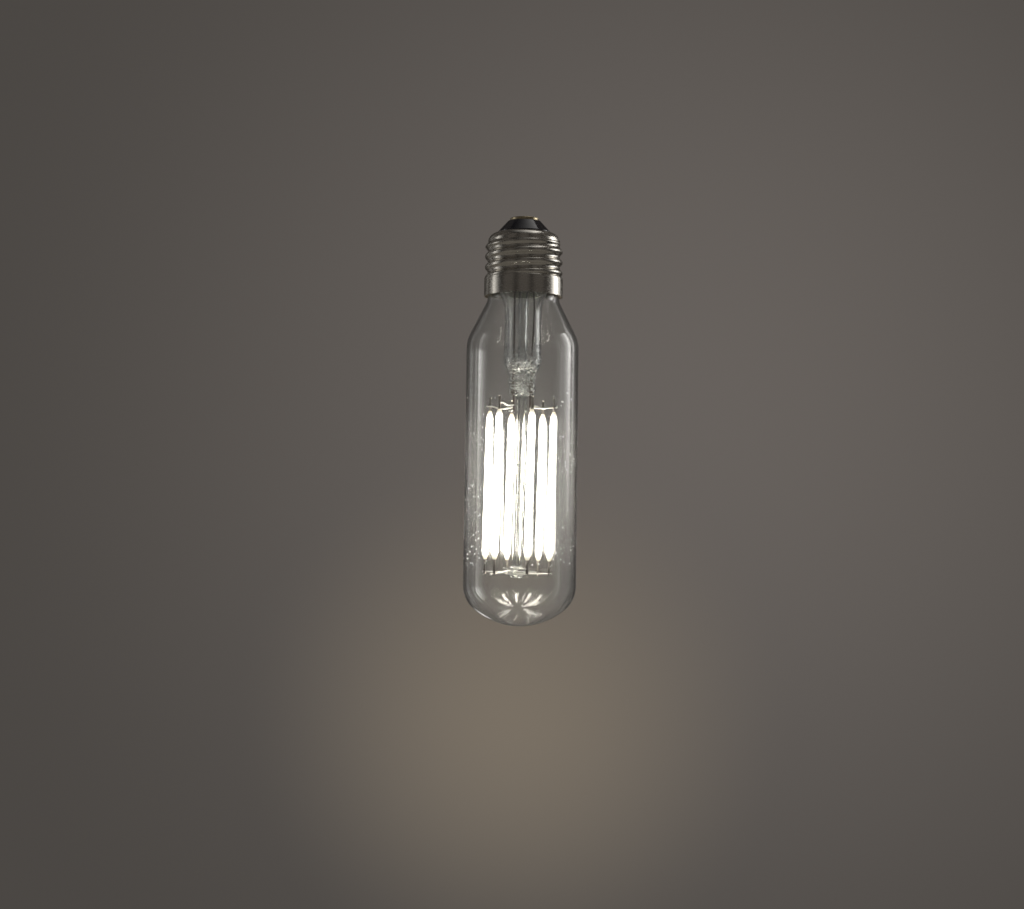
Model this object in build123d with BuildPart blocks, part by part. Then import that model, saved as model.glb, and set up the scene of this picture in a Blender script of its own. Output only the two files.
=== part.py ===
from build123d import *
import os
from math import acos, asin, atan2, cos, degrees, hypot, radians, sin, sqrt, tan

# A clear tubular lamp that hangs cap up: a blown glass tube with a domed end, a glass stem that
# carries a cage of six upright filaments, and a 27 mm screw cap with a small driver inside.
# The origin is the middle of the centre contact's end face. +Z points into the lampholder,
# so the glass hangs towards -Z. Millimetres and degrees.

os.makedirs("parts", exist_ok=True)

# Clearances
fit_gap = 0.03
weld_gap = 0.02
root_bury = 0.035
floor_ledge = 0.12

# Screw cap
thread_major_diameter = 26.3
thread_depth = 0.95
thread_pitch = 25.4 / 7
thread_round = 1.025
thread_runout = 1.6
thread_land = 0.15
cap_height = 26.8
skirt_over_thread = 0.15
skirt_length = 6.2
skirt_cone_height = 0.9
shell_sheet = 0.3
shell_round = 3.2
lip_depth = 5.2
contact_diameter = 9.6
contact_thickness = 1.0
contact_edge = 0.35
shank_diameter = 2.8
shank_extra_length = 1.0
insulator_ledge = 0.7
insulator_rise = 0.5
insulator_depth = 2.2
cement_thickness = 0.9
cement_recess = 0.3

# Glass tube
tube_diameter = 38.0
glass_wall = 1.0
knuckle_radius = 10.8
crown_drop = 2.94
shoulder_radius = 12.3
shoulder_angle = 27.0
neck_round = 6.0
neck_gap = 0.6
dome_clearance = 15.2

# Stem
stem_diameter = 12.5
stem_wall = 1.0
stem_length = 27.5
flare_height = 12.0
taper_length = 5.5
press_length = 6.1
press_margin = 1.45
press_cheek = 1.0
press_flat = 0.4
press_edge = 0.9
cavity_depth = 2.5
exhaust_diameter = 3.4
exhaust_bore = 2.0
exhaust_rise = 3.0
port_diameter = 2.0
port_drop = 1.5

# Cage
cage_lean = 1.1
cage_turn = -12.0
filament_count = 6
cage_diameter = 22.0
filament_diameter = 2.5
filament_length = 50.0
filament_end_round = 0.7
pin_width = 0.9
pin_thickness = 0.5
wire_diameter = 0.5
wire_tail = 0.9
wire_stack = 0.65
upper_wire_drop = 3.9
upper_pin_reach = 1.5
upper_pin_tail = 3.0
lower_pin_reach = 3.7
lower_pin_tail = 1.2
rod_diameter = 3.4
rod_embed = 3.0
button_diameter = 6.2
button_end_diameter = 5.0
button_height = 3.5
button_above_wires = 1.3
button_edge = 0.6
lead_diameter = 0.55
lead_standoff = 1.05
lead_below_wires = 1.0

# Driver in the cap, with places as shares of the board's radius
board_clearance = 2.5
board_thickness = 1.0
board_gap = 0.8
lead_tail = 0.6
rectifier_size = (4.8, 4.0, 1.9)
rectifier_place = (-0.49, 0.38)
rectifier_legs = 2
chip_size = (5.0, 4.0, 1.6)
chip_legs = 4
chip_place = (-0.47, -0.40)
component_edge = 0.25
package_lift = 0.15
leg_width = 0.5
leg_reach = 0.5
capacitor_diameter = 5.0
capacitor_height = 6.0
capacitor_edge = 0.4
capacitor_place = (0.57, -0.32)
fuse_diameter = 2.2
fuse_length = 5.4
fuse_edge = 0.5
fuse_leg = 1.3
fuse_place = (0.34, 0.51)
side_lead_inset = 1.8
side_lead_rise = 2.0
side_lead_bend = 0.9
cap_lead_diameter = 0.6

# Radii worked out from the sizes above
tube_radius = tube_diameter / 2
crest_radius = thread_major_diameter / 2
root_radius = crest_radius - thread_depth
core_radius = root_radius + root_bury
skirt_radius = crest_radius + skirt_over_thread
lip_radius = core_radius - shell_round
neck_radius = skirt_radius - shell_sheet - cement_thickness
board_radius = core_radius - shell_sheet - board_clearance
side_lead_offset = board_radius - side_lead_inset
cage_radius = cage_diameter / 2
stem_radius = stem_diameter / 2
rod_radius = rod_diameter / 2
wire_radius = wire_diameter / 2
lead_radius = lead_diameter / 2
lead_offset = rod_radius + lead_standoff
press_width = 2 * (lead_offset + press_margin)
press_thickness = rod_diameter + 2 * press_cheek
press_round = press_thickness / 2 - press_flat

# Levels, from the centre contact down
z_insulator = -lip_depth - insulator_depth
z_shell_round = -lip_depth - shell_round
z_rim = -cap_height
z_skirt = z_rim + skirt_length
z_core = z_skirt + skirt_cone_height
z_seal = z_skirt - neck_gap
z_flare = z_seal - flare_height
z_stem_end = z_seal - stem_length
z_cavity = z_stem_end - cavity_depth
z_press = z_stem_end - taper_length
z_press_end = z_press - press_length
z_upper = z_press_end - upper_wire_drop
z_exhaust_tip = z_seal + exhaust_rise
z_board = z_exhaust_tip + board_gap
z_board_top = z_board + board_thickness
z_thread_top = z_shell_round + thread_pitch / 2
z_thread_end = z_skirt - thread_pitch / 2

# The cage hangs from the upper wires along an axis that leans a little
cage = Plane(
    origin=(0, 0, z_upper),
    x_dir=(cos(radians(cage_lean)), 0, -sin(radians(cage_lean))),
    z_dir=(sin(radians(cage_lean)), 0, cos(radians(cage_lean))),
)
cage_section = Plane(origin=cage.origin, x_dir=cage.x_dir, z_dir=-cage.y_dir)
cage_axis = Axis(cage.origin, cage.z_dir)
h_filament_top = -upper_pin_reach
h_filament_end = h_filament_top - filament_length
h_lower = h_filament_end - lower_pin_reach
h_button_top = h_lower + button_above_wires
h_button_end = h_button_top - button_height
filament_angles = [cage_turn + 360 / filament_count * i for i in range(filament_count)]

# The dome's height and its crown follow from the knuckle and the drop below it
z_dome_inside = cage.from_local_coords(Vector(0, 0, h_button_end)).Z - dome_clearance
z_dome = z_dome_inside - glass_wall
dome_height = knuckle_radius + crown_drop
z_tube_end = z_dome + dome_height
knuckle_inset = tube_radius - knuckle_radius
crown_radius = (dome_height**2 + knuckle_inset**2 - knuckle_radius**2) / (2 * crown_drop)


def write(piece, node):
    """Label a finished piece and write it as its own file."""
    piece.part.label = node
    export_step(piece.part, f"parts/{node}.step")


def straight_wire(start, end, diameter):
    """A round wire from one point to another."""
    start, end = Vector(start), Vector(end)
    with BuildPart() as wire:
        with BuildSketch(Plane(origin=start, z_dir=end - start)):
            Circle(diameter / 2)
        extrude(amount=(end - start).length)
    return wire


def in_cage(x, y, h):
    """A point given along the cage's own axes."""
    return cage.from_local_coords(Vector(x, y, h))


def glass_outline(inset, z_top):
    """Half section of the tube, from the dome's middle up the side to the neck, filled to the axis."""
    side, neck = tube_radius - inset, neck_radius - inset
    knuckle, crown = knuckle_radius - inset, crown_radius - inset
    shoulder, flank = shoulder_radius - inset, neck_round + inset
    turn = radians(shoulder_angle)
    toward_crown = atan2(knuckle_inset, crown_radius - dome_height)
    meet = (crown * sin(toward_crown), z_dome + crown_radius - crown * cos(toward_crown))
    shoulder_x = tube_radius - shoulder_radius
    cone_low = (shoulder_x + shoulder * cos(turn), z_shoulder + shoulder * sin(turn))
    cone_high = (neck + flank * (1 - cos(turn)), z_neck - flank * sin(turn))
    with BuildSketch(Plane.XZ) as outline:
        with BuildLine():
            crown_arc = RadiusArc((0, z_dome + inset), meet, -crown)
            knuckle_arc = RadiusArc(crown_arc @ 1, (side, z_tube_end), -knuckle)
            Line(knuckle_arc @ 1, (side, z_shoulder))
            shoulder_arc = RadiusArc((side, z_shoulder), cone_low, -shoulder)
            Line(shoulder_arc @ 1, cone_high)
            neck_arc = RadiusArc(cone_high, (neck, z_neck), flank)
            Line(neck_arc @ 1, (neck, z_top))
            Line((neck, z_top), (0, z_top))
            Line((0, z_top), (0, z_dome + inset))
        make_face()
    return outline.sketch


# The shoulder is a round, a straight cone and a round into the neck, which begins at the cap's rim
z_neck = z_rim
shoulder_turn = radians(shoulder_angle)
cone_fall = (
    tube_radius
    - neck_radius
    - (shoulder_radius + neck_round) * (1 - cos(shoulder_turn))
) / tan(shoulder_turn)
z_shoulder = z_neck - cone_fall - (shoulder_radius + neck_round) * sin(shoulder_turn)

# Glass tube, blown in one piece and open at the neck
with BuildPart() as glass_envelope:
    add(glass_outline(0, z_seal))
    revolve(axis=Axis.Z)
    add(glass_outline(glass_wall, z_seal))
    revolve(axis=Axis.Z, mode=Mode.SUBTRACT)
write(glass_envelope, "glass_envelope")

# Stem: a flared tube whose lower end is pinched flat on the wires and the rod
flare_edge = neck_radius - glass_wall - fit_gap
bore_radius = stem_radius - stem_wall
cavity_floor = exhaust_diameter / 2 + floor_ledge
with BuildPart() as stem_flare:
    with BuildSketch(Plane.XZ):
        with BuildLine():
            flare = TangentArc((stem_radius, z_flare), (flare_edge, z_seal), tangent=(0, 1))
            Line(flare @ 1, (0, z_seal))
            Line((0, z_seal), (0, z_stem_end))
            Line((0, z_stem_end), (stem_radius, z_stem_end))
            Line((stem_radius, z_stem_end), flare @ 0)
        make_face()
    revolve(axis=Axis.Z)
    with BuildSketch(Plane.XY.offset(z_stem_end)):
        Circle(stem_radius)
    with BuildSketch(Plane.XY.offset(z_press)):
        RectangleRounded(press_width, press_thickness, press_round)
    loft()
    with BuildSketch(Plane.XY.offset(z_press)):
        RectangleRounded(press_width, press_thickness, press_round)
    extrude(amount=-press_length)
    fillet(stem_flare.faces().sort_by(Axis.Z)[0].edges(), press_edge)
    with BuildSketch(Plane.XZ):
        with BuildLine():
            mouth = TangentArc((bore_radius, z_flare), (flare_edge - stem_wall, z_seal), tangent=(0, 1))
            Line(mouth @ 1, (0, z_seal))
            Line((0, z_seal), (0, z_cavity))
            Line((0, z_cavity), (cavity_floor, z_cavity))
            cup = TangentArc((bore_radius, z_stem_end), (cavity_floor, z_cavity), tangent=(0, -1))
            Line(cup @ 0, mouth @ 0)
        make_face()
    revolve(axis=Axis.Z, mode=Mode.SUBTRACT)
    with BuildSketch(Plane.XY.offset(z_press_end)):
        with GridLocations(2 * lead_offset, 0, 2, 1):
            Circle(lead_radius + fit_gap)
    extrude(amount=z_stem_end - z_press_end, mode=Mode.SUBTRACT)
    with BuildSketch(cage.offset(z_press_end - z_upper - rod_embed)):
        Circle(rod_radius + fit_gap)
    extrude(amount=2 * rod_embed, mode=Mode.SUBTRACT)
    with BuildSketch(Plane.XY.offset(z_cavity)):
        Circle(exhaust_bore / 2)
    extrude(amount=-port_drop, mode=Mode.SUBTRACT)
    with BuildSketch(Plane.XZ):
        with Locations((0, z_cavity - port_drop)):
            Circle(port_diameter / 2)
    extrude(amount=stem_radius, mode=Mode.SUBTRACT)
write(stem_flare, "stem_flare")

# Exhaust tube, standing on the floor of the stem and melted shut at its tip
exhaust_radius = exhaust_diameter / 2
exhaust_wall = exhaust_radius - exhaust_bore / 2
z_tip_round = z_exhaust_tip - exhaust_radius
tip_inside = (0, z_exhaust_tip - exhaust_wall)
with BuildPart() as exhaust_tube:
    with BuildSketch(Plane.XZ):
        with BuildLine():
            tip = RadiusArc((exhaust_radius, z_tip_round), (0, z_exhaust_tip), -exhaust_radius)
            Line(tip @ 1, tip_inside)
            end = RadiusArc(tip_inside, (exhaust_bore / 2, z_tip_round), exhaust_bore / 2)
            Line(end @ 1, (exhaust_bore / 2, z_cavity))
            Line((exhaust_bore / 2, z_cavity), (exhaust_radius, z_cavity))
            Line((exhaust_radius, z_cavity), tip @ 0)
        make_face()
    revolve(axis=Axis.Z)
write(exhaust_tube, "exhaust_tube")


def lower_wire_ends(i):
    """Ends of a lower wire, which passes beside two opposite pins and through the button."""
    angle = radians(filament_angles[i])
    aside = pin_width / 2 + wire_radius + weld_gap
    reach = cage_radius + wire_tail
    h = h_lower + wire_stack * (i - (filament_count / 2 - 1) / 2)
    side = Vector(-sin(angle), cos(angle)) * aside
    out = Vector(cos(angle), sin(angle)) * reach
    near, far = side + out, side - out
    return in_cage(near.X, near.Y, h), in_cage(far.X, far.Y, h)


# Glass rod that carries the cage, with a button melted on its lower end round the lower wires
with BuildPart() as support_rod:
    with BuildSketch(cage_section):
        with BuildLine():
            h_rod_top = z_press_end - z_upper + rod_embed - fit_gap
            Polyline(
                (0, h_rod_top),
                (rod_radius, h_rod_top),
                (rod_radius, h_button_top),
                (button_diameter / 2, h_button_top),
                (button_end_diameter / 2, h_button_end),
                (0, h_button_end),
                close=True,
            )
        make_face()
    revolve(axis=cage_axis)
    button_rims = support_rod.edges().filter_by(GeomType.CIRCLE).sort_by(cage_axis)[0:2]
    fillet(button_rims, button_edge)
    for i in range(filament_count // 2):
        near, far = lower_wire_ends(i)
        with BuildSketch(Plane(origin=near, z_dir=far - near)):
            Circle(wire_radius + fit_gap)
        extrude(amount=(far - near).length, mode=Mode.SUBTRACT)
write(support_rod, "support_rod")

# Lower wires, each of which joins two opposite filaments
for i in range(filament_count // 2):
    near, far = lower_wire_ends(i)
    write(straight_wire(near, far, wire_diameter), f"lower_wire_{i + 1}")

# Lead-in wires, from the driver board through the pinch to the upper wires
z_lead_end = z_upper - wire_stack - lead_below_wires
for side, name in ((-1, "lead_wire_left"), (1, "lead_wire_right")):
    top = (side * lead_offset, 0, z_board_top + lead_tail)
    end = (side * lead_offset, 0, z_lead_end)
    write(straight_wire(top, end, lead_diameter), name)

# Filaments and their pins, and the upper wire that feeds each one
for i, angle in enumerate(filament_angles):
    with BuildPart() as filament:
        with BuildSketch(cage.offset(h_filament_top)):
            with PolarLocations(cage_radius, 1, start_angle=angle):
                Circle(filament_diameter / 2)
        extrude(amount=-filament_length)
        fillet(filament.edges().filter_by(GeomType.CIRCLE), filament_end_round)
    write(filament, f"filament_{i + 1}")

    with BuildPart() as upper_pin:
        with BuildSketch(cage.offset(h_filament_top)):
            with PolarLocations(cage_radius, 1, start_angle=angle):
                Rectangle(pin_thickness, pin_width)
        extrude(amount=upper_pin_reach + upper_pin_tail)
    write(upper_pin, f"filament_{i + 1}_upper_pin")

    with BuildPart() as lower_pin:
        with BuildSketch(cage.offset(h_filament_end)):
            with PolarLocations(cage_radius, 1, start_angle=angle):
                Rectangle(pin_thickness, pin_width)
        extrude(amount=-(lower_pin_reach + lower_pin_tail))
    write(lower_pin, f"filament_{i + 1}_lower_pin")

    turn = radians(angle)
    side = 1 if cos(turn) > 0 else -1
    fed = sorted((a for a in filament_angles if cos(radians(a)) * side > 0), key=lambda a: sin(radians(a)))
    h = wire_stack * side * (fed.index(angle) - (len(fed) - 1) / 2)
    lead = Vector(side * lead_offset, 0)
    to_pin = Vector(cos(turn), sin(turn)) * cage_radius - lead
    aside = hypot(pin_width, pin_thickness) / 2 + wire_radius + weld_gap
    along = to_pin.normalized().rotate(Axis.Z, degrees(asin(aside / to_pin.length)))
    start = lead + along * (lead_radius + weld_gap)
    finish = lead + along * (to_pin.length + wire_tail)
    wire = straight_wire(in_cage(start.X, start.Y, h), in_cage(finish.X, finish.Y, h), wire_diameter)
    write(wire, f"upper_wire_{i + 1}")


def rolled_ridge(inset):
    """The thread's round wave, set in by part of the sheet, filled inwards and fading out at the top."""
    crest_round, root_round = thread_round - inset, thread_round + inset
    crest_middle = Vector(crest_radius - thread_round, 0)
    root_middle = Vector(root_radius + thread_round, thread_pitch / 2)
    between = root_middle - crest_middle
    lean = acos(min(2 * thread_round / between.length, 1))
    normal_angle = atan2(between.Y, between.X) - lean
    normal = Vector(cos(normal_angle), sin(normal_angle))
    crest_top = crest_middle + Vector(crest_round, 0)
    crest_end = crest_middle + normal * crest_round
    root_start = root_middle - normal * root_round
    half_span = thread_pitch / 2 - thread_land
    root_end = Vector(root_middle.X - sqrt(root_round**2 - thread_land**2), half_span)
    depth = core_radius - inset - shell_sheet
    run = Vector(core_radius, 0)
    with BuildPart() as ridge:
        with BuildLine() as path:
            Helix(thread_pitch, z_thread_top - z_thread_end, core_radius, center=(0, 0, z_thread_end))
        with BuildSketch(Plane(origin=path.line @ 0, x_dir=(1, 0, 0), z_dir=path.line % 0)):
            with BuildLine() as half_wave:
                crest = RadiusArc(crest_top - run, crest_end - run, -crest_round)
                flank = Line(crest @ 1, root_start - run)
                root = RadiusArc(flank @ 1, root_end - run, root_round)
                foot = Line(root @ 1, (depth - core_radius, half_span))
                mirror(about=Plane.XZ)
                Line(foot @ 1, (depth - core_radius, -half_span))
            make_face()
        sweep(path=path.line, is_frenet=True)
        with BuildSketch(Plane.XZ):
            with BuildLine():
                Polyline(
                    (0, z_shell_round),
                    (core_radius - inset - root_bury, z_shell_round),
                    (crest_radius - inset + root_bury, z_shell_round - thread_runout),
                    (crest_radius - inset + root_bury, z_thread_end - thread_pitch),
                    (0, z_thread_end - thread_pitch),
                    close=True,
                )
            make_face()
        revolve(axis=Axis.Z, mode=Mode.INTERSECT)
    return ridge.part


def shell_outline(inset):
    """Half section of the drawn shell without its thread, filled to the axis."""
    z_lip = -lip_depth - inset
    with BuildSketch(Plane.XZ) as outline:
        with BuildLine():
            Line((0, z_lip), (lip_radius, z_lip))
            RadiusArc((lip_radius, z_lip), (core_radius - inset, z_shell_round), shell_round - inset)
            Polyline(
                (core_radius - inset, z_shell_round),
                (core_radius - inset, z_core),
                (skirt_radius - inset, z_skirt),
                (skirt_radius - inset, z_rim),
                (0, z_rim),
                (0, z_lip),
            )
        make_face()
    return outline.sketch


# Screw shell, one drawn sheet: turned-in lip, rolled round thread, plain skirt
with BuildPart() as screw_shell:
    add(shell_outline(0))
    revolve(axis=Axis.Z)
    add(rolled_ridge(0))
    add(shell_outline(shell_sheet))
    revolve(axis=Axis.Z, mode=Mode.SUBTRACT)
    add(rolled_ridge(shell_sheet), mode=Mode.SUBTRACT)
    with BuildSketch(Plane.XY.offset(-lip_depth)):
        Circle(lip_radius)
    extrude(amount=-shell_sheet, mode=Mode.SUBTRACT)
write(screw_shell, "screw_shell")

# Black glass insulator, poured into the end of the shell
shank_radius = shank_diameter / 2
lip_inside = lip_radius - fit_gap
z_lip_under = -lip_depth - shell_sheet - fit_gap
seat_round = shell_round - shell_sheet - fit_gap
insulator_radius = lip_radius + sqrt(seat_round**2 - (z_insulator - z_shell_round) ** 2)
with BuildPart() as cap_insulator:
    with BuildSketch(Plane.XZ):
        with BuildLine():
            Polyline(
                (shank_radius + fit_gap, z_insulator),
                (shank_radius + fit_gap, -contact_thickness),
                (contact_diameter / 2 + insulator_ledge, -contact_thickness),
                (lip_inside, insulator_rise - lip_depth),
                (lip_inside, z_lip_under),
                (lip_radius, z_lip_under),
            )
            RadiusArc((lip_radius, z_lip_under), (insulator_radius, z_insulator), seat_round)
            Line((insulator_radius, z_insulator), (shank_radius + fit_gap, z_insulator))
        make_face()
    revolve(axis=Axis.Z)
write(cap_insulator, "cap_insulator")

# Centre contact, a rivet whose hollow shank grips the lead
cap_lead_radius = cap_lead_diameter / 2
shank_length = -contact_thickness - z_insulator + shank_extra_length
with BuildPart() as centre_contact:
    with BuildSketch():
        Circle(contact_diameter / 2)
    extrude(amount=-contact_thickness)
    fillet(centre_contact.edges().filter_by(GeomType.CIRCLE).sort_by(Axis.Z)[-1], contact_edge)
    with BuildSketch(Plane.XY.offset(-contact_thickness)):
        Circle(shank_radius)
    extrude(amount=-shank_length)
    with BuildSketch(Plane.XY.offset(-contact_thickness)):
        Circle(cap_lead_radius + fit_gap)
    extrude(amount=-shank_length, mode=Mode.SUBTRACT)
write(centre_contact, "centre_contact")

# Cement ring that holds the neck in the skirt
with BuildPart() as cap_cement:
    with BuildSketch(Plane.XY.offset(z_rim + cement_recess)):
        Circle(skirt_radius - shell_sheet - fit_gap)
        Circle(neck_radius + fit_gap, mode=Mode.SUBTRACT)
    extrude(amount=skirt_length - 2 * cement_recess)
write(cap_cement, "cap_cement")

# Driver board, held by the lead-in wires
cap_lead_hole = cap_lead_radius + fit_gap
fuse_reach = fuse_length / 2 + fuse_leg
fuse_x, fuse_y = (share * board_radius for share in fuse_place)
with BuildPart() as driver_board:
    with BuildSketch(Plane.XY.offset(z_board)):
        Circle(board_radius)
        with GridLocations(2 * lead_offset, 0, 2, 1):
            Circle(lead_radius + fit_gap, mode=Mode.SUBTRACT)
        with Locations((0, 0), (-side_lead_offset, 0)):
            Circle(cap_lead_hole, mode=Mode.SUBTRACT)
        with Locations((fuse_x - fuse_reach, fuse_y), (fuse_x + fuse_reach, fuse_y)):
            Circle(cap_lead_hole, mode=Mode.SUBTRACT)
    extrude(amount=board_thickness)
write(driver_board, "driver_board")


def flat_package(size, place, legs):
    """A moulded package on the board, with a row of flat legs on each long side."""
    length, width, height = size
    middle = Vector(*place) * board_radius
    with BuildPart() as package:
        with BuildSketch(Plane.XY.offset(z_board_top + package_lift)):
            with Locations(middle):
                Rectangle(length, width)
        extrude(amount=height - package_lift)
        chamfer(package.faces().sort_by(Axis.Z)[-1].edges(), component_edge)
        with BuildSketch(Plane.XY.offset(z_board_top)):
            with Locations(middle):
                with GridLocations(length / legs, width + leg_reach, legs, 2):
                    Rectangle(leg_width, 2 * leg_reach)
        extrude(amount=2 * package_lift)
    return package


write(flat_package(rectifier_size, rectifier_place, rectifier_legs), "rectifier_bridge")
write(flat_package(chip_size, chip_place, chip_legs), "driver_chip")

# Smoothing capacitor, a can that stands on the board
with BuildPart() as smoothing_capacitor:
    with BuildSketch(Plane.XY.offset(z_board_top)):
        with Locations(Vector(*capacitor_place) * board_radius):
            Circle(capacitor_diameter / 2)
    extrude(amount=capacitor_height)
    fillet(smoothing_capacitor.edges().filter_by(GeomType.CIRCLE), capacitor_edge)
write(smoothing_capacitor, "smoothing_capacitor")

# Fusible resistor, which lies on the board with its legs bent down through it
z_fuse = z_board_top + fuse_diameter / 2
with BuildPart() as fuse_resistor:
    with BuildLine() as legs:
        FilletPolyline(
            (fuse_x - fuse_reach, fuse_y, z_board - lead_tail),
            (fuse_x - fuse_reach, fuse_y, z_fuse),
            (fuse_x + fuse_reach, fuse_y, z_fuse),
            (fuse_x + fuse_reach, fuse_y, z_board - lead_tail),
            radius=side_lead_bend,
        )
    with BuildSketch(Plane(origin=legs.line @ 0, z_dir=legs.line % 0)):
        Circle(cap_lead_radius)
    sweep(path=legs.line)
    with BuildSketch(Plane.YZ.offset(fuse_x - fuse_length / 2)):
        with Locations((fuse_y, z_fuse)):
            Circle(fuse_diameter / 2)
    extrude(amount=fuse_length)
    end_circles = fuse_resistor.edges().filter_by(GeomType.CIRCLE).filter_by(Plane.YZ)
    fillet(end_circles.sort_by(SortBy.RADIUS)[-2:], fuse_edge)
write(fuse_resistor, "fuse_resistor")

# Leads from the board to the centre contact and to the wall of the shell
lead_foot = (0, 0, z_board - lead_tail)
lead_head = (0, 0, -contact_thickness - fit_gap)
write(straight_wire(lead_foot, lead_head, cap_lead_diameter), "contact_lead")
z_side_lead = z_board_top + side_lead_rise
wall_reach = core_radius - shell_sheet - weld_gap
with BuildPart() as shell_lead:
    with BuildLine() as route:
        FilletPolyline(
            (-side_lead_offset, 0, z_board - lead_tail),
            (-side_lead_offset, 0, z_side_lead),
            (-wall_reach, 0, z_side_lead),
            radius=side_lead_bend,
        )
    with BuildSketch(Plane(origin=route.line @ 0, z_dir=route.line % 0)):
        Circle(cap_lead_radius)
    sweep(path=route.line)
write(shell_lead, "shell_lead")
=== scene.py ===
"""Looks of a clear tubular lamp: a blown glass tube, a pinched stem, a cage of six lit filaments on
thin wires, and a screw cap. Metres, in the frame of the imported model: the origin is the middle of the
centre contact's end face, and the glass hangs towards -Z."""

from math import acos, asin, atan2, cos, degrees, hypot, pi, radians, sin, sqrt, tan
from typing import NamedTuple

import bmesh
import bpy
from bpy.props import FloatProperty, FloatVectorProperty, IntProperty, PointerProperty
from mathutils import Matrix, Vector, noise


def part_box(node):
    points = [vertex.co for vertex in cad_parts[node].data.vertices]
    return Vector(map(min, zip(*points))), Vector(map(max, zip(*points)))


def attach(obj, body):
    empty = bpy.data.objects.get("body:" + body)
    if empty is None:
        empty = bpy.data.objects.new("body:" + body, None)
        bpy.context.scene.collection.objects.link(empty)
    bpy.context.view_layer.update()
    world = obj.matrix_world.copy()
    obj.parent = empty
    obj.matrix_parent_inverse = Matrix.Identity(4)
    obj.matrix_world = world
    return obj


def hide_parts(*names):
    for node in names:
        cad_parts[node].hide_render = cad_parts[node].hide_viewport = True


bl_info = {
    "name": "Tubular filament lamp",
    "version": (1, 0, 0),
    "blender": (4, 5, 0),
    "location": "View3D > Sidebar > Lamp",
    "description": "Dresses the packed model of a tubular lamp: glass, filaments, wires, cap and stage",
    "category": "Object",
}

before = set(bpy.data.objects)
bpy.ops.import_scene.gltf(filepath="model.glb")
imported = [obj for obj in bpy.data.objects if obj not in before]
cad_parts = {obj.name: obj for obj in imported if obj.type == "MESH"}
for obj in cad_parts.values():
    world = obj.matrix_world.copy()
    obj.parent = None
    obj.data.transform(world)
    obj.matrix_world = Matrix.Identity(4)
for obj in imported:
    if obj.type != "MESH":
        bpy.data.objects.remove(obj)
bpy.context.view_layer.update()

MM = 0.001
MERGE = 1e-7
FIT = 0.03 * MM
FILAMENTS = range(1, 7)
LOWER_WIRES = range(1, 4)
WARM_WHITE = (1, 0.98, 0.95)

# Boxes of the nodes that the pieces stand for
TUBE_LOW, TUBE_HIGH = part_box("glass_envelope")
STEM_LOW, STEM_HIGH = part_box("stem_flare")
EXHAUST_LOW, EXHAUST_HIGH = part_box("exhaust_tube")
SHELL_LOW, SHELL_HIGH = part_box("screw_shell")
INSULATOR_LOW, INSULATOR_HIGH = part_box("cap_insulator")
CONTACT_LOW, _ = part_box("centre_contact")
CEMENT_LOW, CEMENT_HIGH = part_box("cap_cement")
LEAD_LOW, LEAD_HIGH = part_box("lead_wire_right")


def mean_middle(nodes):
    """Mean of the middles of several nodes' boxes."""
    middles = [sum(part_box(node), Vector()) / 2 for node in nodes]
    return sum(middles, Vector()) / len(middles)


UPPER_PINS = [f"filament_{i}_upper_pin" for i in FILAMENTS]
LOWER_PINS = [f"filament_{i}_lower_pin" for i in FILAMENTS]
UPPER_MIDDLE, LOWER_MIDDLE = mean_middle(UPPER_PINS), mean_middle(LOWER_PINS)


def size(name, description, default):
    """A length that a user may change."""
    return FloatProperty(name=name, description=description, default=default, unit="LENGTH", precision=5)


def slope(name, description, default):
    """An angle in degrees that a user may change."""
    return FloatProperty(name=name, description=description, default=radians(default), subtype="ANGLE")


def number(name, description, default, **limits):
    """A plain number that a user may change."""
    return FloatProperty(name=name, description=description, default=default, **limits)


def whole(name, description, default, least=24):
    """A whole number that a user may change."""
    return IntProperty(name=name, description=description, default=default, min=least)


def colour(name, description, default):
    """A colour that a user may change."""
    return FloatVectorProperty(
        name=name, description=description, default=default, size=3, subtype="COLOR", min=0, max=1
    )


class TubeSizes(bpy.types.PropertyGroup):
    """Sizes of the blown glass tube."""

    radius: size("Radius", "Outside of the tube", TUBE_HIGH.x)
    wall: size("Wall", "Thickness of the glass", 1.0 * MM)
    knuckle_radius: size("Knuckle", "Round between the side and the crown of the dome", 10.8 * MM)
    crown_drop: size("Crown drop", "How far the crown hangs below the knuckle", 2.94 * MM)
    shoulder_radius: size("Shoulder", "Round between the side and the cone", 12.3 * MM)
    shoulder_angle: slope("Cone", "Slope of the cone above the shoulder", 27)
    neck_radius: size("Neck", "Outside of the neck", 12.1 * MM)
    neck_round: size("Neck round", "Round between the cone and the neck", 6.0 * MM)
    wave: size("Wave", "Unevenness that blowing leaves in the glass", 0.02 * MM)
    flute: size("Flute", "Depth of the faint flutes that run out from the dome's middle", 0.06 * MM)
    thin: size("Thin", "How much thinner the glass is in the middle of the dome", 0.5 * MM)
    segments: whole("Segments", "Points round the tube", 288)
    specks: number("Specks", "Specks on each square metre of glass", 120000, min=0)
    speck_radius: size("Speck radius", "Radius of a large speck", 0.27 * MM)
    speck_start: size("Speck start", "Lowest speck above the dome's end", 20 * MM)
    speck_end: size("Speck end", "Highest speck above the dome's end", 78 * MM)


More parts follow.
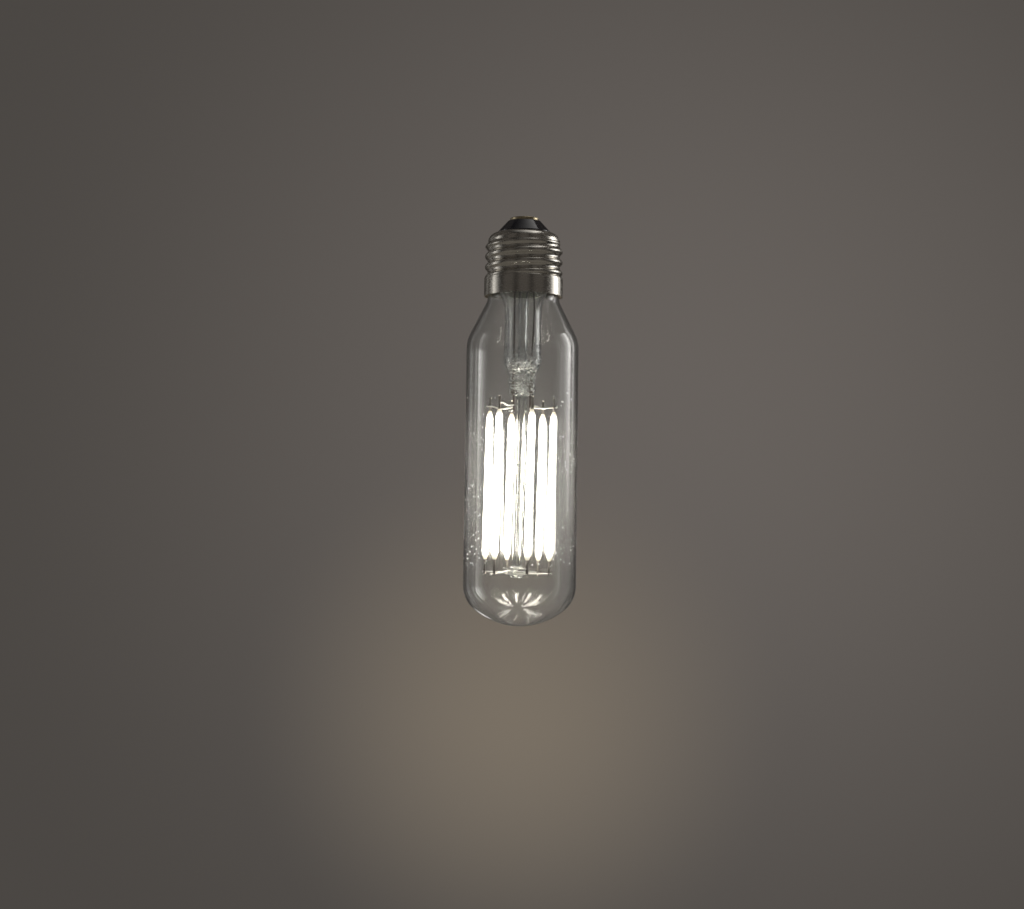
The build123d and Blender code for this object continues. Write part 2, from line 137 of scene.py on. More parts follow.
class StemSizes(bpy.types.PropertyGroup):
    """Sizes of the stem, its exhaust tube and the rod under it."""

    radius: size("Radius", "Outside of the stem tube", 6.25 * MM)
    wall: size("Wall", "Thickness of the stem tube", 1.0 * MM)
    flare_height: size("Flare", "Height of the flared end", 12.0 * MM)
    taper_length: size("Taper", "Length over which the tube closes to the pinch", 5.5 * MM)
    press_length: size("Pinch", "Length of the flat pinch", 6.1 * MM)
    press_half_width: size("Pinch half width", "Half the pinch across the wires", 4.2 * MM)
    press_half_depth: size("Pinch half depth", "Half the pinch through its flat", 2.7 * MM)
    cavity_depth: size("Cavity", "Depth of the cup below the straight bore", 2.5 * MM)
    wedge: size("Wedge", "How much deeper the cup reaches at the pinch's two sides", 1.8 * MM)
    exhaust_bore: size("Exhaust bore", "Radius of the bore of the exhaust tube", 1.0 * MM)
    port_drop: size("Port drop", "How far the exhaust hole sits below the cup", 1.5 * MM)
    rod_radius: size("Rod", "Radius of the glass rod", 1.7 * MM)
    button_radius: size("Button", "Radius of the button's flange", 3.1 * MM)
    button_end_radius: size("Button end", "Radius of the button's lower end", 2.5 * MM)
    button_height: size("Button height", "Height of the button", 3.5 * MM)
    button_edge: size("Button edge", "Round on the button's edges", 0.6 * MM)
    lump: size("Lump", "Height of the lumps that the jaws leave in the pinch", 0.7 * MM)
    grain: size("Grain", "Unevenness of the rod", 0.02 * MM)
    bubbles: number("Bubbles", "Bubbles on each square metre of the pinch's layers", 900000, min=0)
    bubble_radius: size("Bubble radius", "Radius of a large bubble", 0.3 * MM)
    flakes: number("Flakes", "Pale flakes on each square metre of the pinch's layers", 2600000, min=0)
    flake_radius: size("Flake radius", "Radius of a large flake", 0.2 * MM)
    bulge: size("Bulge", "How far the tube swells above the funnel", 0.35 * MM)
    waist: number("Waist", "Width of the funnel's end as a share of the pinch", 0.87, min=0.6, max=1)
    segments: whole("Segments", "Points round the stem", 120)


class CageSizes(bpy.types.PropertyGroup):
    """Sizes of the cage of filaments, pins and wires, along the cage's own leaning axis."""

    count: whole("Filaments", "Filaments in the ring", 6, 3)
    radius: size("Ring", "Radius of the ring of filaments", 11.0 * MM)
    turn: slope("Turn", "Angle of the first filament", -12)
    filament_radius: size("Filament", "Radius of the coat", 1.15 * MM)
    filament_length: size("Filament length", "Length of the coat", 50.0 * MM)
    filament_taper: size("Taper", "Length of the coat's tapered ends", 2.7 * MM)
    filament_tip: size("Tip", "Radius of the coat where the pin leaves it", 0.52 * MM)
    pin_width: size("Pin width", "Width of a pin", 0.9 * MM)
    pin_thickness: size("Pin thickness", "Thickness of a pin", 0.5 * MM)
    pin_edge: size("Pin edge", "Softened edge of a pin", 0.08 * MM)
    pin_bury: size("Pin bury", "How deep a pin sits in the coat", 0.4 * MM)
    bead_radius: size("Bead", "Radius of the melted bead on a pin's end", 0.48 * MM)
    upper_reach: size("Upper reach", "From the upper wires down to the coat", 1.5 * MM)
    upper_tail: size("Upper tail", "How far a pin stands above the upper wires", 3.0 * MM)
    lower_reach: size("Lower reach", "From the coat down to the lower wires", 3.7 * MM)
    lower_tail: size("Lower tail", "How far a pin hangs below the lower wires", 1.2 * MM)
    wire_radius: size("Wire", "Radius of the thin wires", 0.28 * MM)
    wire_tail: size("Wire tail", "How far a wire runs past its pin", 0.9 * MM)
    wire_stack: size("Wire stack", "Height between wires that cross", 0.65 * MM)
    weld_gap: size("Weld", "Gap left between a wire and what it is welded to", 0.02 * MM)
    lead_radius: size("Lead", "Radius of a lead-in wire", 0.275 * MM)
    lead_offset: size("Lead offset", "From the axis to a lead-in wire", 2.75 * MM)
    button_above: size("Button top", "From the lower wires up to the button's top", 1.3 * MM)


class CapSizes(bpy.types.PropertyGroup):
    """Sizes of the screw cap."""

    thread_radius: size("Thread", "Crest of the thread", 13.15 * MM)
    thread_depth: size("Thread depth", "From crest to root", 0.95 * MM)
    thread_pitch: size("Pitch", "Height of one turn", 25.4 / 7 * MM)
    thread_round: size("Thread round", "Round on the crest and in the root", 1.025 * MM)
    thread_runout: size("Run-out", "Height over which the thread fades out", 1.6 * MM)
    shell_round: size("Shell round", "Round into the turned-in lip", 3.2 * MM)
    sheet: size("Sheet", "Thickness of the shell", 0.3 * MM)
    skirt_length: size("Skirt", "Height of the plain skirt", 6.2 * MM)
    skirt_cone: size("Skirt cone", "Height of the step from the skirt to the thread", 0.9 * MM)
    contact_radius: size("Contact", "Radius of the centre contact", 4.8 * MM)
    contact_thickness: size("Contact thickness", "Thickness of the contact's head", 1.0 * MM)
    contact_edge: size("Contact edge", "Round on the contact's edge", 0.35 * MM)
    shank_radius: size("Shank", "Radius of the contact's shank", 1.4 * MM)
    ledge: size("Ledge", "Flat ring of black glass round the contact", 0.7 * MM)
    crumb: size("Crumb", "Roughness of the cement's lower face", 0.18 * MM)
    segments: whole("Segments", "Points round the cap", 240)


class Finishes(bpy.types.PropertyGroup):
    """Colours and glow of the finishes."""

    glass: colour("Glass", "Clear blown glass", (0.97, 0.98, 0.975))
    coat: colour("Coat", "Phosphor coat", (1.0, 0.93, 0.74))
    glow: colour("Glow", "Light of the coat", (1.0, 0.95, 0.86))
    glow_strength: number("Glow strength", "Brightness of the coat", 16, min=0)
    dim_end: colour("Dim end", "Light at the ends of the coat", (0.030, 0.027, 0.023))
    speck: colour("Speck", "Pale specks and flakes in the glass", (0.98, 0.98, 0.97))
    pin: colour("Pin", "Oxidised pins", (0.30, 0.27, 0.24))
    wire: colour("Wire", "Bright nickel wire", (0.86, 0.84, 0.80))
    bead: colour("Bead", "Bright melted weld bead", (0.90, 0.88, 0.84))
    lead: colour("Lead", "Dark lead-in wire", (0.16, 0.12, 0.10))
    shell: colour("Shell", "Nickel plate of the screw shell", (0.72, 0.69, 0.63))
    brass: colour("Brass", "Tinned brass contact", (0.70, 0.60, 0.40))
    black_glass: colour("Black glass", "Insulator", (0.012, 0.011, 0.013))
    cement: colour("Cement", "Baked cement", (0.45, 0.39, 0.30))
    board: colour("Board", "Coated driver board", (0.05, 0.22, 0.11))
    package: colour("Package", "Moulded packages on the board", (0.02, 0.02, 0.022))
    can: colour("Can", "Sleeve of the capacitor", (0.62, 0.63, 0.64))
    lacquer: colour("Lacquer", "Lacquer of the fuse resistor", (0.45, 0.33, 0.2))


class StageSettings(bpy.types.PropertyGroup):
    """Camera, light and background."""

    lens: number("Lens", "Focal length in millimetres", 70.9)
    distance: size("Distance", "From the lamp's axis to the camera", 0.6776)
    aside: size("Aside", "How far the camera stands to the side", -3.1 * MM)
    height: size("Height", "Camera above the lowest point of the glass", 19.0 * MM)
    pitch: slope("Pitch", "Camera's look upwards", 3.26)
    roll: slope("Roll", "Camera's roll", 0.8)
    # Painted light on the background: the backdrop colour is lighter behind the lamp, painted shade darkens
    # it away from the lamp, and a painted pool of light lies just below the lamp.
    backdrop: colour("Backdrop", "Warm grey behind the lamp", (0.135, 0.120, 0.109))
    backdrop_painted_shade: colour("Backdrop edge", "Grey away from the lamp", (0.070, 0.063, 0.057))
    backdrop_painted_light_pool: colour("Backdrop pool", "Lighter pool below the lamp", (0.192, 0.162, 0.127))
    flags: number("Flags", "Level of the dark flags that draw the edges of the glass", 0.35, min=0)
    ambient: number("Ambient", "Level of the light from all round", 0.45, min=0)
    floor_drop: size("Floor drop", "Floor below the glass", 1.2)
    floor: colour("Floor", "Plain pale floor", (0.72, 0.70, 0.67))
    floor_mirrored: colour("Floor mirrored", "Floor as glass and metal show it", (0.13, 0.12, 0.105))


def clamp(value):
    """A number held between 0 and 1."""
    return min(max(value, 0), 1)


def add_node(tree, kind, inputs=(), **settings):
    """A node with its settings, and its inputs linked or set."""
    made = tree.nodes.new(kind)
    for name, value in settings.items():
        setattr(made, name, value)
    for key, value in dict(inputs).items():
        if isinstance(value, bpy.types.NodeSocket):
            tree.links.new(value, made.inputs[key])
        else:
            made.inputs[key].default_value = value
    return made


def result(tree, kind, inputs=(), **settings):
    """The first output of a new node."""
    return add_node(tree, kind, inputs, **settings).outputs[0]


def calc(tree, operation, first, second=0.0):
    """The result of one step of arithmetic."""
    return result(tree, "ShaderNodeMath", {0: first, 1: second}, operation=operation)


def rgba(value):
    """A colour with full alpha, or a socket as it is."""
    return value if isinstance(value, bpy.types.NodeSocket) else (*value, 1.0)


def shifted(value, factor):
    """A colour made lighter or darker."""
    return tuple(min(channel * factor, 1.0) for channel in value)


def surface(name, **constants):
    """A material of one Principled shader, with its constants set on its own sockets."""
    material = bpy.data.materials.new(name)
    material.use_nodes = True
    tree = material.node_tree
    tree.nodes.clear()
    shader = add_node(tree, "ShaderNodeBsdfPrincipled")
    for key, value in constants.items():
        shader.inputs[key.replace("_", " ").title().replace("Ior", "IOR")].default_value = value
    add_node(tree, "ShaderNodeOutputMaterial", {"Surface": shader.outputs[0]}, name="Output")
    return material, tree, shader


def grain(tree, scale, detail=3.0, stretch=(1, 1, 1)):
    """Noise on the piece's own coordinates, stretched along its axes."""
    spot = add_node(tree, "ShaderNodeTexCoord").outputs["Object"]
    mapped = result(tree, "ShaderNodeMapping", {"Vector": spot, "Scale": stretch})
    return result(tree, "ShaderNodeTexNoise", {"Vector": mapped, "Scale": scale, "Detail": detail})


def spread(tree, value, low, high, start=0.3, end=0.7):
    """A number between two limits that follows a pattern."""
    inputs = {"Value": value, "From Min": start, "From Max": end, "To Min": low, "To Max": high}
    return result(tree, "ShaderNodeMapRange", inputs)


def blend_colours(tree, factor, first, second):
    """A colour between two, by a factor."""
    mixed = add_node(tree, "ShaderNodeMix", {0: factor, 6: rgba(first), 7: rgba(second)}, data_type="RGBA")
    return mixed.outputs[2]


def relief(tree, shader, height, distance, strength=1.0):
    """Fine relief on a shader's normal."""
    inputs = {"Height": height, "Distance": distance, "Strength": strength}
    tree.links.new(result(tree, "ShaderNodeBump", inputs), shader.inputs["Normal"])


def frosted(material, clear, amount, band):
    """Haze in patches over a band of heights, which fades in and out at its ends."""
    tree = material.node_tree
    patch_scale, patch_start, patch_end = 1300, 0.46, 0.6
    spot = add_node(tree, "ShaderNodeTexCoord").outputs["Object"]
    height = add_node(tree, "ShaderNodeSeparateXYZ", {0: spot}).outputs["Z"]
    rise, fall = spread(tree, height, 0, 1, *band[:2]), spread(tree, height, 1, 0, *band[2:])
    patches = spread(tree, grain(tree, patch_scale, detail=4), 0, 1, patch_start, patch_end)
    haze = calc(tree, "MULTIPLY", calc(tree, "MULTIPLY", rise, fall), patches)
    weight = tree.nodes["Principled BSDF"].inputs["Transmission Weight"]
    tree.links.new(spread(tree, haze, clear, clear - amount, 0, 1), weight)


def glass_finish(name, tint, clear, wave_scale, wave_depth):
    """Clear glass with faint waves, smudges, a thin haze that catches light and a little absorption."""
    material, tree, shader = surface(name, transmission_weight=clear, ior=1.5)
    smudge = grain(tree, scale=180, detail=5, stretch=(1, 1, 0.35))
    gloss = spread(tree, smudge, low=0.0, high=0.035, start=0.5, end=0.8)
    tree.links.new(gloss, shader.inputs["Roughness"])
    tree.links.new(blend_colours(tree, smudge, tint, shifted(tint, 0.99)), shader.inputs["Base Color"])
    waves = grain(tree, wave_scale, detail=2, stretch=(1, 1, 0.3))
    relief(tree, shader, waves, wave_depth, strength=0.5)
    veil = result(tree, "ShaderNodeVolumeAbsorption", {"Color": (0.45, 0.46, 0.45, 1), "Density": 10})
    tree.links.new(veil, tree.nodes["Output"].inputs["Volume"])
    return material


def speck_finish(looks):
    """Pale seeds and flakes in the glass, which catch the light."""
    known = bpy.data.materials.get("Pale specks")
    if known:
        return known
    pale = {"base_color": rgba(looks.speck), "transmission_weight": 0.15, "ior": 1.45, "roughness": 0.6}
    return surface("Pale specks", **pale)[0]


def coat_finish(looks):
    """Phosphor coat that glows, dimmer at its ends."""
    glowing = {"roughness": 0.6, "emission_strength": looks.glow_strength}
    material, tree, shader = surface("Lit phosphor coat", **glowing)
    level = add_node(tree, "ShaderNodeAttribute", attribute_name="glow").outputs["Fac"]
    speckle = grain(tree, scale=2600, detail=2)
    tint = blend_colours(tree, speckle, looks.coat, shifted(looks.coat, 0.9))
    tree.links.new(tint, shader.inputs["Base Color"])
    tree.links.new(blend_colours(tree, level, looks.dim_end, looks.glow), shader.inputs["Emission Color"])
    relief(tree, shader, speckle, distance=0.06 * MM)
    return material


def metal_finish(name, tint, rough, scale, stretch=(1, 1, 1), depth=0.01 * MM, tarnish=0.7):
    """Metal with drawn marks, uneven gloss and a little tarnish."""
    material, tree, shader = surface(name, metallic=1.0)
    marks = grain(tree, scale, detail=4, stretch=stretch)
    cloud = spread(tree, grain(tree, scale * 0.12, detail=4), 0, 1, start=0.42, end=0.68)
    tree.links.new(blend_colours(tree, cloud, tint, shifted(tint, tarnish)), shader.inputs["Base Color"])
    tree.links.new(spread(tree, marks, *rough), shader.inputs["Roughness"])
    relief(tree, shader, marks, depth, strength=0.6)
    return material


def moulded_finish(name, tint, rough, scale, depth, variation=0.75):
    """Moulded, cast or lacquered stuff with a fine uneven skin."""
    material, tree, shader = surface(name)
    skin_grain = grain(tree, scale, detail=5)
    mottle = spread(tree, grain(tree, scale * 0.2, detail=4), 0, 1)
    tree.links.new(blend_colours(tree, mottle, tint, shifted(tint, variation)), shader.inputs["Base Color"])
    tree.links.new(spread(tree, skin_grain, rough * 0.8, min(rough * 1.2, 1)), shader.inputs["Roughness"])
    relief(tree, shader, skin_grain, depth)
    return material


def arc(middle, radius, start, end, steps):
    """Points on an arc in the plane of radius and height. Angles in degrees."""
    turns = [radians(start + (end - start) * i / steps) for i in range(steps + 1)]
    return [(middle[0] + radius * cos(turn), middle[1] + radius * sin(turn)) for turn in turns]


def run(start, end, steps):
    """Points on a straight run, without its ends."""
    return [tuple(a + (b - a) * i / steps for a, b in zip(start, end)) for i in range(1, steps)]


def ring(radius, z, segments):
    """A circle of points, or one point on the axis."""
    if radius <= 0:
        return [Vector((0, 0, z))]
    turns = [2 * pi * i / segments for i in range(segments)]
    return [Vector((radius * cos(turn), radius * sin(turn), z)) for turn in turns]


def add_skin(bm, rings, hollow=False):
    """Draw a skin through rings of points, facing outwards, or inwards for a hollow in a solid."""
    rows = [[bm.verts.new(point) for point in row] for row in rings]
    faces = []
    for low, high in zip(rows, rows[1:]):
        count = max(len(low), len(high))
        for i in range(count):
            j = (i + 1) % count
            corners = (low[i % len(low)], low[j % len(low)], high[j % len(high)], high[i % len(high)])
            faces.append(bm.faces.new(tuple(dict.fromkeys(corners))))
    volume = sum(
        face.verts[0].co.dot(face.verts[k].co.cross(face.verts[k + 1].co))
        for face in faces
        for k in range(1, len(face.verts) - 1)
    )
    if (volume < 0) != hollow:
        bmesh.ops.reverse_faces(bm, faces=faces)


def plain_mesh(name, bm):
    """The mesh of what has been drawn."""
    mesh = bpy.data.meshes.new(name)
    bm.to_mesh(mesh)
    bm.free()
    return mesh


def smooth_mesh(name, bm, sharp=radians(40)):
    """A mesh with smooth faces and sharp corners."""
    mesh = plain_mesh(name, bm)
    mesh.shade_smooth()
    mesh.set_sharp_from_angle(angle=sharp)
    return mesh


def closed_mesh(name, rings):
    """A smooth mesh of rings that end on the axis or come back to their start."""
    bm = bmesh.new()
    add_skin(bm, rings)
    bmesh.ops.remove_doubles(bm, verts=bm.verts, dist=MERGE)
    return smooth_mesh(name, bm)


def lathe(name, profile, segments):
    """A turned mesh from a profile of radius and height."""
    return closed_mesh(name, [ring(radius, z, segments) for radius, z in profile])


def band_mesh(name, bands):
    """A mesh of open bands, each a skin through rings of points, on which specks are scattered."""
    bm = bmesh.new()
    for rings in bands:
        add_skin(bm, rings)
    return plain_mesh(name, bm)


def place(name, mesh, material, slot, *nodes):
    """Put a finished piece on the body, in place of the nodes that it stands for."""
    piece = bpy.data.objects.new(name, mesh)
    bpy.context.scene.collection.objects.link(piece)
    if material.name not in mesh.materials:
        mesh.materials.clear()
        mesh.materials.append(material)
    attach(piece, "root")
    if nodes:
        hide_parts(*nodes)


def node_tree(name, sockets):
    """A Geometry Nodes tree with named inputs. Returns the tree and the sockets of its inputs."""
    tree = bpy.data.node_groups.new(name, "GeometryNodeTree")
    for socket, kind in {"Geometry": "Geometry", **sockets, "Finish": "Material"}.items():
        tree.interface.new_socket(socket, in_out="INPUT", socket_type=f"NodeSocket{kind}")
    tree.interface.new_socket("Geometry", in_out="OUTPUT", socket_type="NodeSocketGeometry")
    return tree, tree.nodes.new("NodeGroupInput").outputs


def finish_tree(tree, geometry, material):
    """End a tree in real geometry with its material."""
    solid = result(tree, "GeometryNodeRealizeInstances", {"Geometry": geometry})
    dressed = result(tree, "GeometryNodeSetMaterial", {"Geometry": solid, "Material": material})
    add_node(tree, "NodeGroupOutput", {"Geometry": dressed})
    return tree


def ring_tree():
    """Tree that sets copies of a shape round a ring, each turned to face outwards."""
    sockets = {"Count": "Int", "Radius": "Float", "Turn": "Vector", "Lean": "Vector", "Place": "Vector"}
    tree, given = node_tree("Ring of copies", sockets)
    circle = result(tree, "GeometryNodeMeshCircle", {"Vertices": given["Count"], "Radius": given["Radius"]})
    step = calc(tree, "DIVIDE", 2 * pi, given["Count"])
    turn = calc(tree, "MULTIPLY", result(tree, "GeometryNodeInputIndex"), step)
    facing = result(tree, "ShaderNodeCombineXYZ", {"Z": turn})
    stand = {"Points": circle, "Instance": given["Geometry"], "Rotation": facing}
    copies = result(tree, "GeometryNodeInstanceOnPoints", stand)
    turned = result(tree, "GeometryNodeTransform", {"Geometry": copies, "Rotation": given["Turn"]})
    lean = {"Geometry": turned, "Rotation": given["Lean"], "Translation": given["Place"]}
    return finish_tree(tree, result(tree, "GeometryNodeTransform", lean), given["Finish"])


def wire_tree():
    """Tree that draws a round wire along each path."""
    tree, given = node_tree("Round wire", {"Radius": "Float", "Sides": "Int"})
    path = result(tree, "GeometryNodeMeshToCurve", {"Mesh": given["Geometry"]})
    curved = result(tree, "GeometryNodeCurveSplineType", {"Curve": path}, spline_type="CATMULL_ROM")
    fine = result(tree, "GeometryNodeSetSplineResolution", {"Geometry": curved, "Resolution": 10})
    circle = {"Resolution": given["Sides"], "Radius": given["Radius"]}
    section = result(tree, "GeometryNodeCurvePrimitiveCircle", circle)
    swept = {"Curve": fine, "Profile Curve": section, "Fill Caps": True}
    return finish_tree(tree, result(tree, "GeometryNodeCurveToMesh", swept), given["Finish"])


def speck_tree():
    """Tree that scatters small specks over a surface, in patches."""
    sockets = {"Density": "Float", "Radius": "Float", "Patch": "Float", "Seed": "Int"}
    tree, given = node_tree("Specks on glass", sockets)
    patch_level, smallest, bead_shape = 0.53, 0.5, {"X": 1.0, "Y": 1.3, "Z": 0.6}
    spot = result(tree, "GeometryNodeInputPosition")
    patches = result(tree, "ShaderNodeTexNoise", {"Vector": spot, "Scale": given["Patch"], "Detail": 2.0})
    inside = calc(tree, "GREATER_THAN", patches, patch_level)
    strewn = {"Mesh": given["Geometry"], "Selection": inside}
    strewn |= {"Density": given["Density"], "Seed": given["Seed"]}
    points = add_node(tree, "GeometryNodeDistributePointsOnFaces", strewn).outputs
    bead = result(tree, "GeometryNodeMeshIcoSphere", {"Radius": given["Radius"], "Subdivisions": 2})
    round_bead = result(tree, "GeometryNodeSetShadeSmooth", {"Geometry": bead})
    limits = {2: smallest, 3: 1.0, "Seed": given["Seed"]}
    grade = add_node(tree, "FunctionNodeRandomValue", limits, data_type="FLOAT").outputs[1]
    flat = result(tree, "ShaderNodeCombineXYZ", bead_shape)
    scale = result(tree, "ShaderNodeVectorMath", {0: flat, "Scale": grade}, operation="SCALE")
    stand = {"Points": points[0], "Instance": round_bead, "Rotation": points["Rotation"], "Scale": scale}
    return finish_tree(tree, result(tree, "GeometryNodeInstanceOnPoints", stand), given["Finish"])


def grown_mesh(name, tree, mesh, inputs):
    """The plain mesh that a tree makes from a starting mesh."""
    starter = bpy.data.objects.new(name + "_start", mesh)
    bpy.context.scene.collection.objects.link(starter)
    modifier = starter.modifiers.new("Nodes", "NODES")
    modifier.node_group = tree
    for item in tree.interface.items_tree:
        if item.in_out == "INPUT" and item.name in inputs:
            modifier[item.identifier] = inputs[item.name]
    bpy.context.view_layer.update()
    evaluated = starter.evaluated_get(bpy.context.evaluated_depsgraph_get())
    made = bpy.data.meshes.new_from_object(evaluated)
    made.name = name
    starter.modifiers.remove(modifier)
    bpy.data.objects.remove(starter)
    return made


def paths_mesh(name, paths):
    """A mesh of edges along several paths."""
    mesh = bpy.data.meshes.new(name)
    points = [point for path in paths for point in path]
    edges, first = [], 0
    for path in paths:
        edges += [(first + i, first + i + 1) for i in range(len(path) - 1)]
        first += len(path)
    mesh.from_pydata(points, edges, [])
    return mesh


def cage_placed(cage):
    """Place of the cage: its origin at the upper wires, its axis from the lower pins to the upper ones."""
    axis = (UPPER_MIDDLE - LOWER_MIDDLE).normalized()
    along_x = Vector((axis.z, 0, -axis.x)).normalized()
    along_y = axis.cross(along_x)
    origin = UPPER_MIDDLE - axis * (cage.upper_tail - cage.upper_reach) / 2
    turn = Matrix((along_x, along_y, axis)).transposed()
    return Matrix.Translation(origin) @ turn.to_4x4()


def cage_inputs(cage, material):
    """Inputs of the ring tree for the cage."""
    placed = cage_placed(cage)
    return {
        "Count": cage.count,
        "Radius": cage.radius,
        "Turn": (0.0, 0.0, cage.turn),
        "Lean": tuple(placed.to_euler()),
        "Place": tuple(placed.translation),
        "Finish": material,
    }


def cage_angles(cage):
    """Angles of the filaments round the cage."""
    return [cage.turn + 2 * pi / cage.count * i for i in range(cage.count)]


def lower_height(cage):
    """Height of the lower wires in the cage."""
    return -cage.upper_reach - cage.filament_length - cage.lower_reach


def tube_outline(tube, inset, z_top):
    """Half section of the tube at a depth in its wall, from the dome's middle up to the neck."""
    z_dome, z_neck = TUBE_LOW.z, SHELL_LOW.z
    dome_height = tube.knuckle_radius + tube.crown_drop
    knuckle_inset = tube.radius - tube.knuckle_radius
    crown = (dome_height**2 + knuckle_inset**2 - tube.knuckle_radius**2) / (2 * tube.crown_drop)
    toward = degrees(atan2(knuckle_inset, crown - dome_height))
    turn, rounds = tube.shoulder_angle, tube.shoulder_radius + tube.neck_round
    cone_fall = (tube.radius - tube.neck_radius - rounds * (1 - cos(turn))) / tan(turn)
    shoulder_middle = (tube.radius - tube.shoulder_radius, z_neck - cone_fall - rounds * sin(turn))
    neck, flank = tube.neck_radius - inset, tube.neck_round + inset
    low = arc((0, z_dome + crown), crown - inset, -90, toward - 90, 20)
    low[0] = (0, low[0][1])
    low += arc((knuckle_inset, z_dome + dome_height), tube.knuckle_radius - inset, toward - 90, 0, 24)[1:]
    shoulder = arc(shoulder_middle, tube.shoulder_radius - inset, 0, degrees(turn), 12)
    high = arc((neck + flank, z_neck), flank, 180 + degrees(turn), 180, 8)
    return [
        *low,
        *run(low[-1], shoulder[0], 48),
        *shoulder,
        *run(shoulder[-1], high[0], 4),
        *high,
        *run(high[-1], (neck, z_top), 6),
        (neck, z_top),
    ]


class LAMP_OT_blow_tube(bpy.types.Operator):
    """Blow the clear glass tube, one closed wall with a domed end and an open neck"""

    bl_idname = "lamp.blow_tube"
    bl_label = "Glass tube"

    def execute(self, context):
        tube, looks = context.scene.lamp_tube, context.scene.lamp_finishes
        z_rim, half = TUBE_HIGH.z - tube.wall / 2, tube.wall / 2
        lip = arc((tube.neck_radius - half, z_rim), half, 0, 180, 8)[1:-1]
        inside = tube_outline(tube, tube.wall, z_rim)[::-1]
        dome_height = tube.knuckle_radius + tube.crown_drop
        rings = []
        for layer, profile in enumerate((tube_outline(tube, 0, z_rim), lip, inside)):
            for radius, z in profile:
                points = ring(radius, z, tube.segments)
                up_dome = clamp((z - TUBE_LOW.z - tube.crown_drop) / dome_height)
                self.blow(tube, points, z, up_dome, layer)
                if profile is inside:
                    self.flute(tube, points, radius, up_dome, context.scene.lamp_cage.turn)
                rings.append(points)
        bm = bmesh.new()
        add_skin(bm, rings)
        mesh = smooth_mesh("blown_tube", bm)
        blown = {"clear": 0.976, "wave_scale": 260, "wave_depth": 0.002 * MM}
        material = glass_finish("Blown glass", looks.glass, **blown)
        place("blown_tube", mesh, material, "envelope_glass", "glass_envelope")
        return {"FINISHED"}

    @staticmethod
    def blow(tube, points, z, up_dome, layer):
        """Slow waves in the side of the glass, none in the neck and on the dome's crown."""
        neck_true, neck_fade, wave_scale, apart = 12 * MM, 8 * MM, 60, 7
        below_neck = clamp((TUBE_HIGH.z - neck_true - z) / neck_fade)
        for point in points:
            wave = tube.wave * noise.noise(point * wave_scale + Vector((0, 0, apart * layer)))
            point.xy *= 1 - below_neck * up_dome * (wave + tube.wave) / tube.radius

    @staticmethod
    def flute(tube, points, radius, up_dome, turn):
        """Thinner glass in the dome, with six faint flutes in step with the filaments."""
        flutes, uneven, spoke_scale, ramp = 6, 0.5, 9, 6 * MM
        for point in points:
            spoke = point.xy.normalized() * spoke_scale
            lobe = sin(flutes * (atan2(spoke.y, spoke.x) - turn))
            lobe += uneven * noise.noise(Vector((*spoke, spoke_scale)))
            point.z -= (tube.thin + tube.flute * lobe * min(radius / ramp, 1)) * (1 - up_dome)


class LAMP_OT_scatter_specks(bpy.types.Operator):
    """Scatter small specks in patches over the sides of the glass"""

    bl_idname = "lamp.scatter_specks"
    bl_label = "Specks"

    def execute(self, context):
        tube = context.scene.lamp_tube
        low, high = TUBE_LOW.z + tube.speck_start, TUBE_LOW.z + tube.speck_end
        rows, segments = 12, 64
        wide = tube.radius - tube.wall - 2 * tube.wave
        side = [ring(wide, low + (high - low) * i / rows, segments) for i in range(rows + 1)]
        pale = speck_finish(context.scene.lamp_finishes)
        inputs = {"Density": tube.specks, "Radius": tube.speck_radius, "Patch": 55.0, "Seed": 5}
        inputs["Finish"] = pale
        mesh = grown_mesh("glass_specks", speck_tree(), band_mesh("specks_start", [side]), inputs)
        place("glass_specks", mesh, pale, "envelope_glass")
        return {"FINISHED"}


def oval(half_x, half_y, power, z, segments):
    """A ring of points on a squared oval."""
    points = []
    for i in range(segments):
        turn = 2 * pi * i / segments
        reach = (abs(cos(turn) / half_x) ** power + abs(sin(turn) / half_y) ** power) ** (-1 / power)
        points.append(Vector((reach * cos(turn), reach * sin(turn), z)))
    return points


def lumpy(points, height, scale, seed):
    """Points pushed in and out by smooth lumps."""
    for point in points:
        push = height * noise.noise(point * scale + Vector((seed, 0, 0)))
        away = Vector((point.x, point.y, 0))
        if away.length > 0:
            point += away.normalized() * push
    return points


def flare_arc(start, end, steps):
    """Points on an arc that leaves the start upright and bends outwards to the end above it."""
    across, up = end[0] - start[0], end[1] - start[1]
    radius = (across**2 + up**2) / (2 * across)
    turns = [asin(up / radius) * i / steps for i in range(steps + 1)]
    return [(start[0] + radius - radius * cos(turn), start[1] + radius * sin(turn)) for turn in turns]


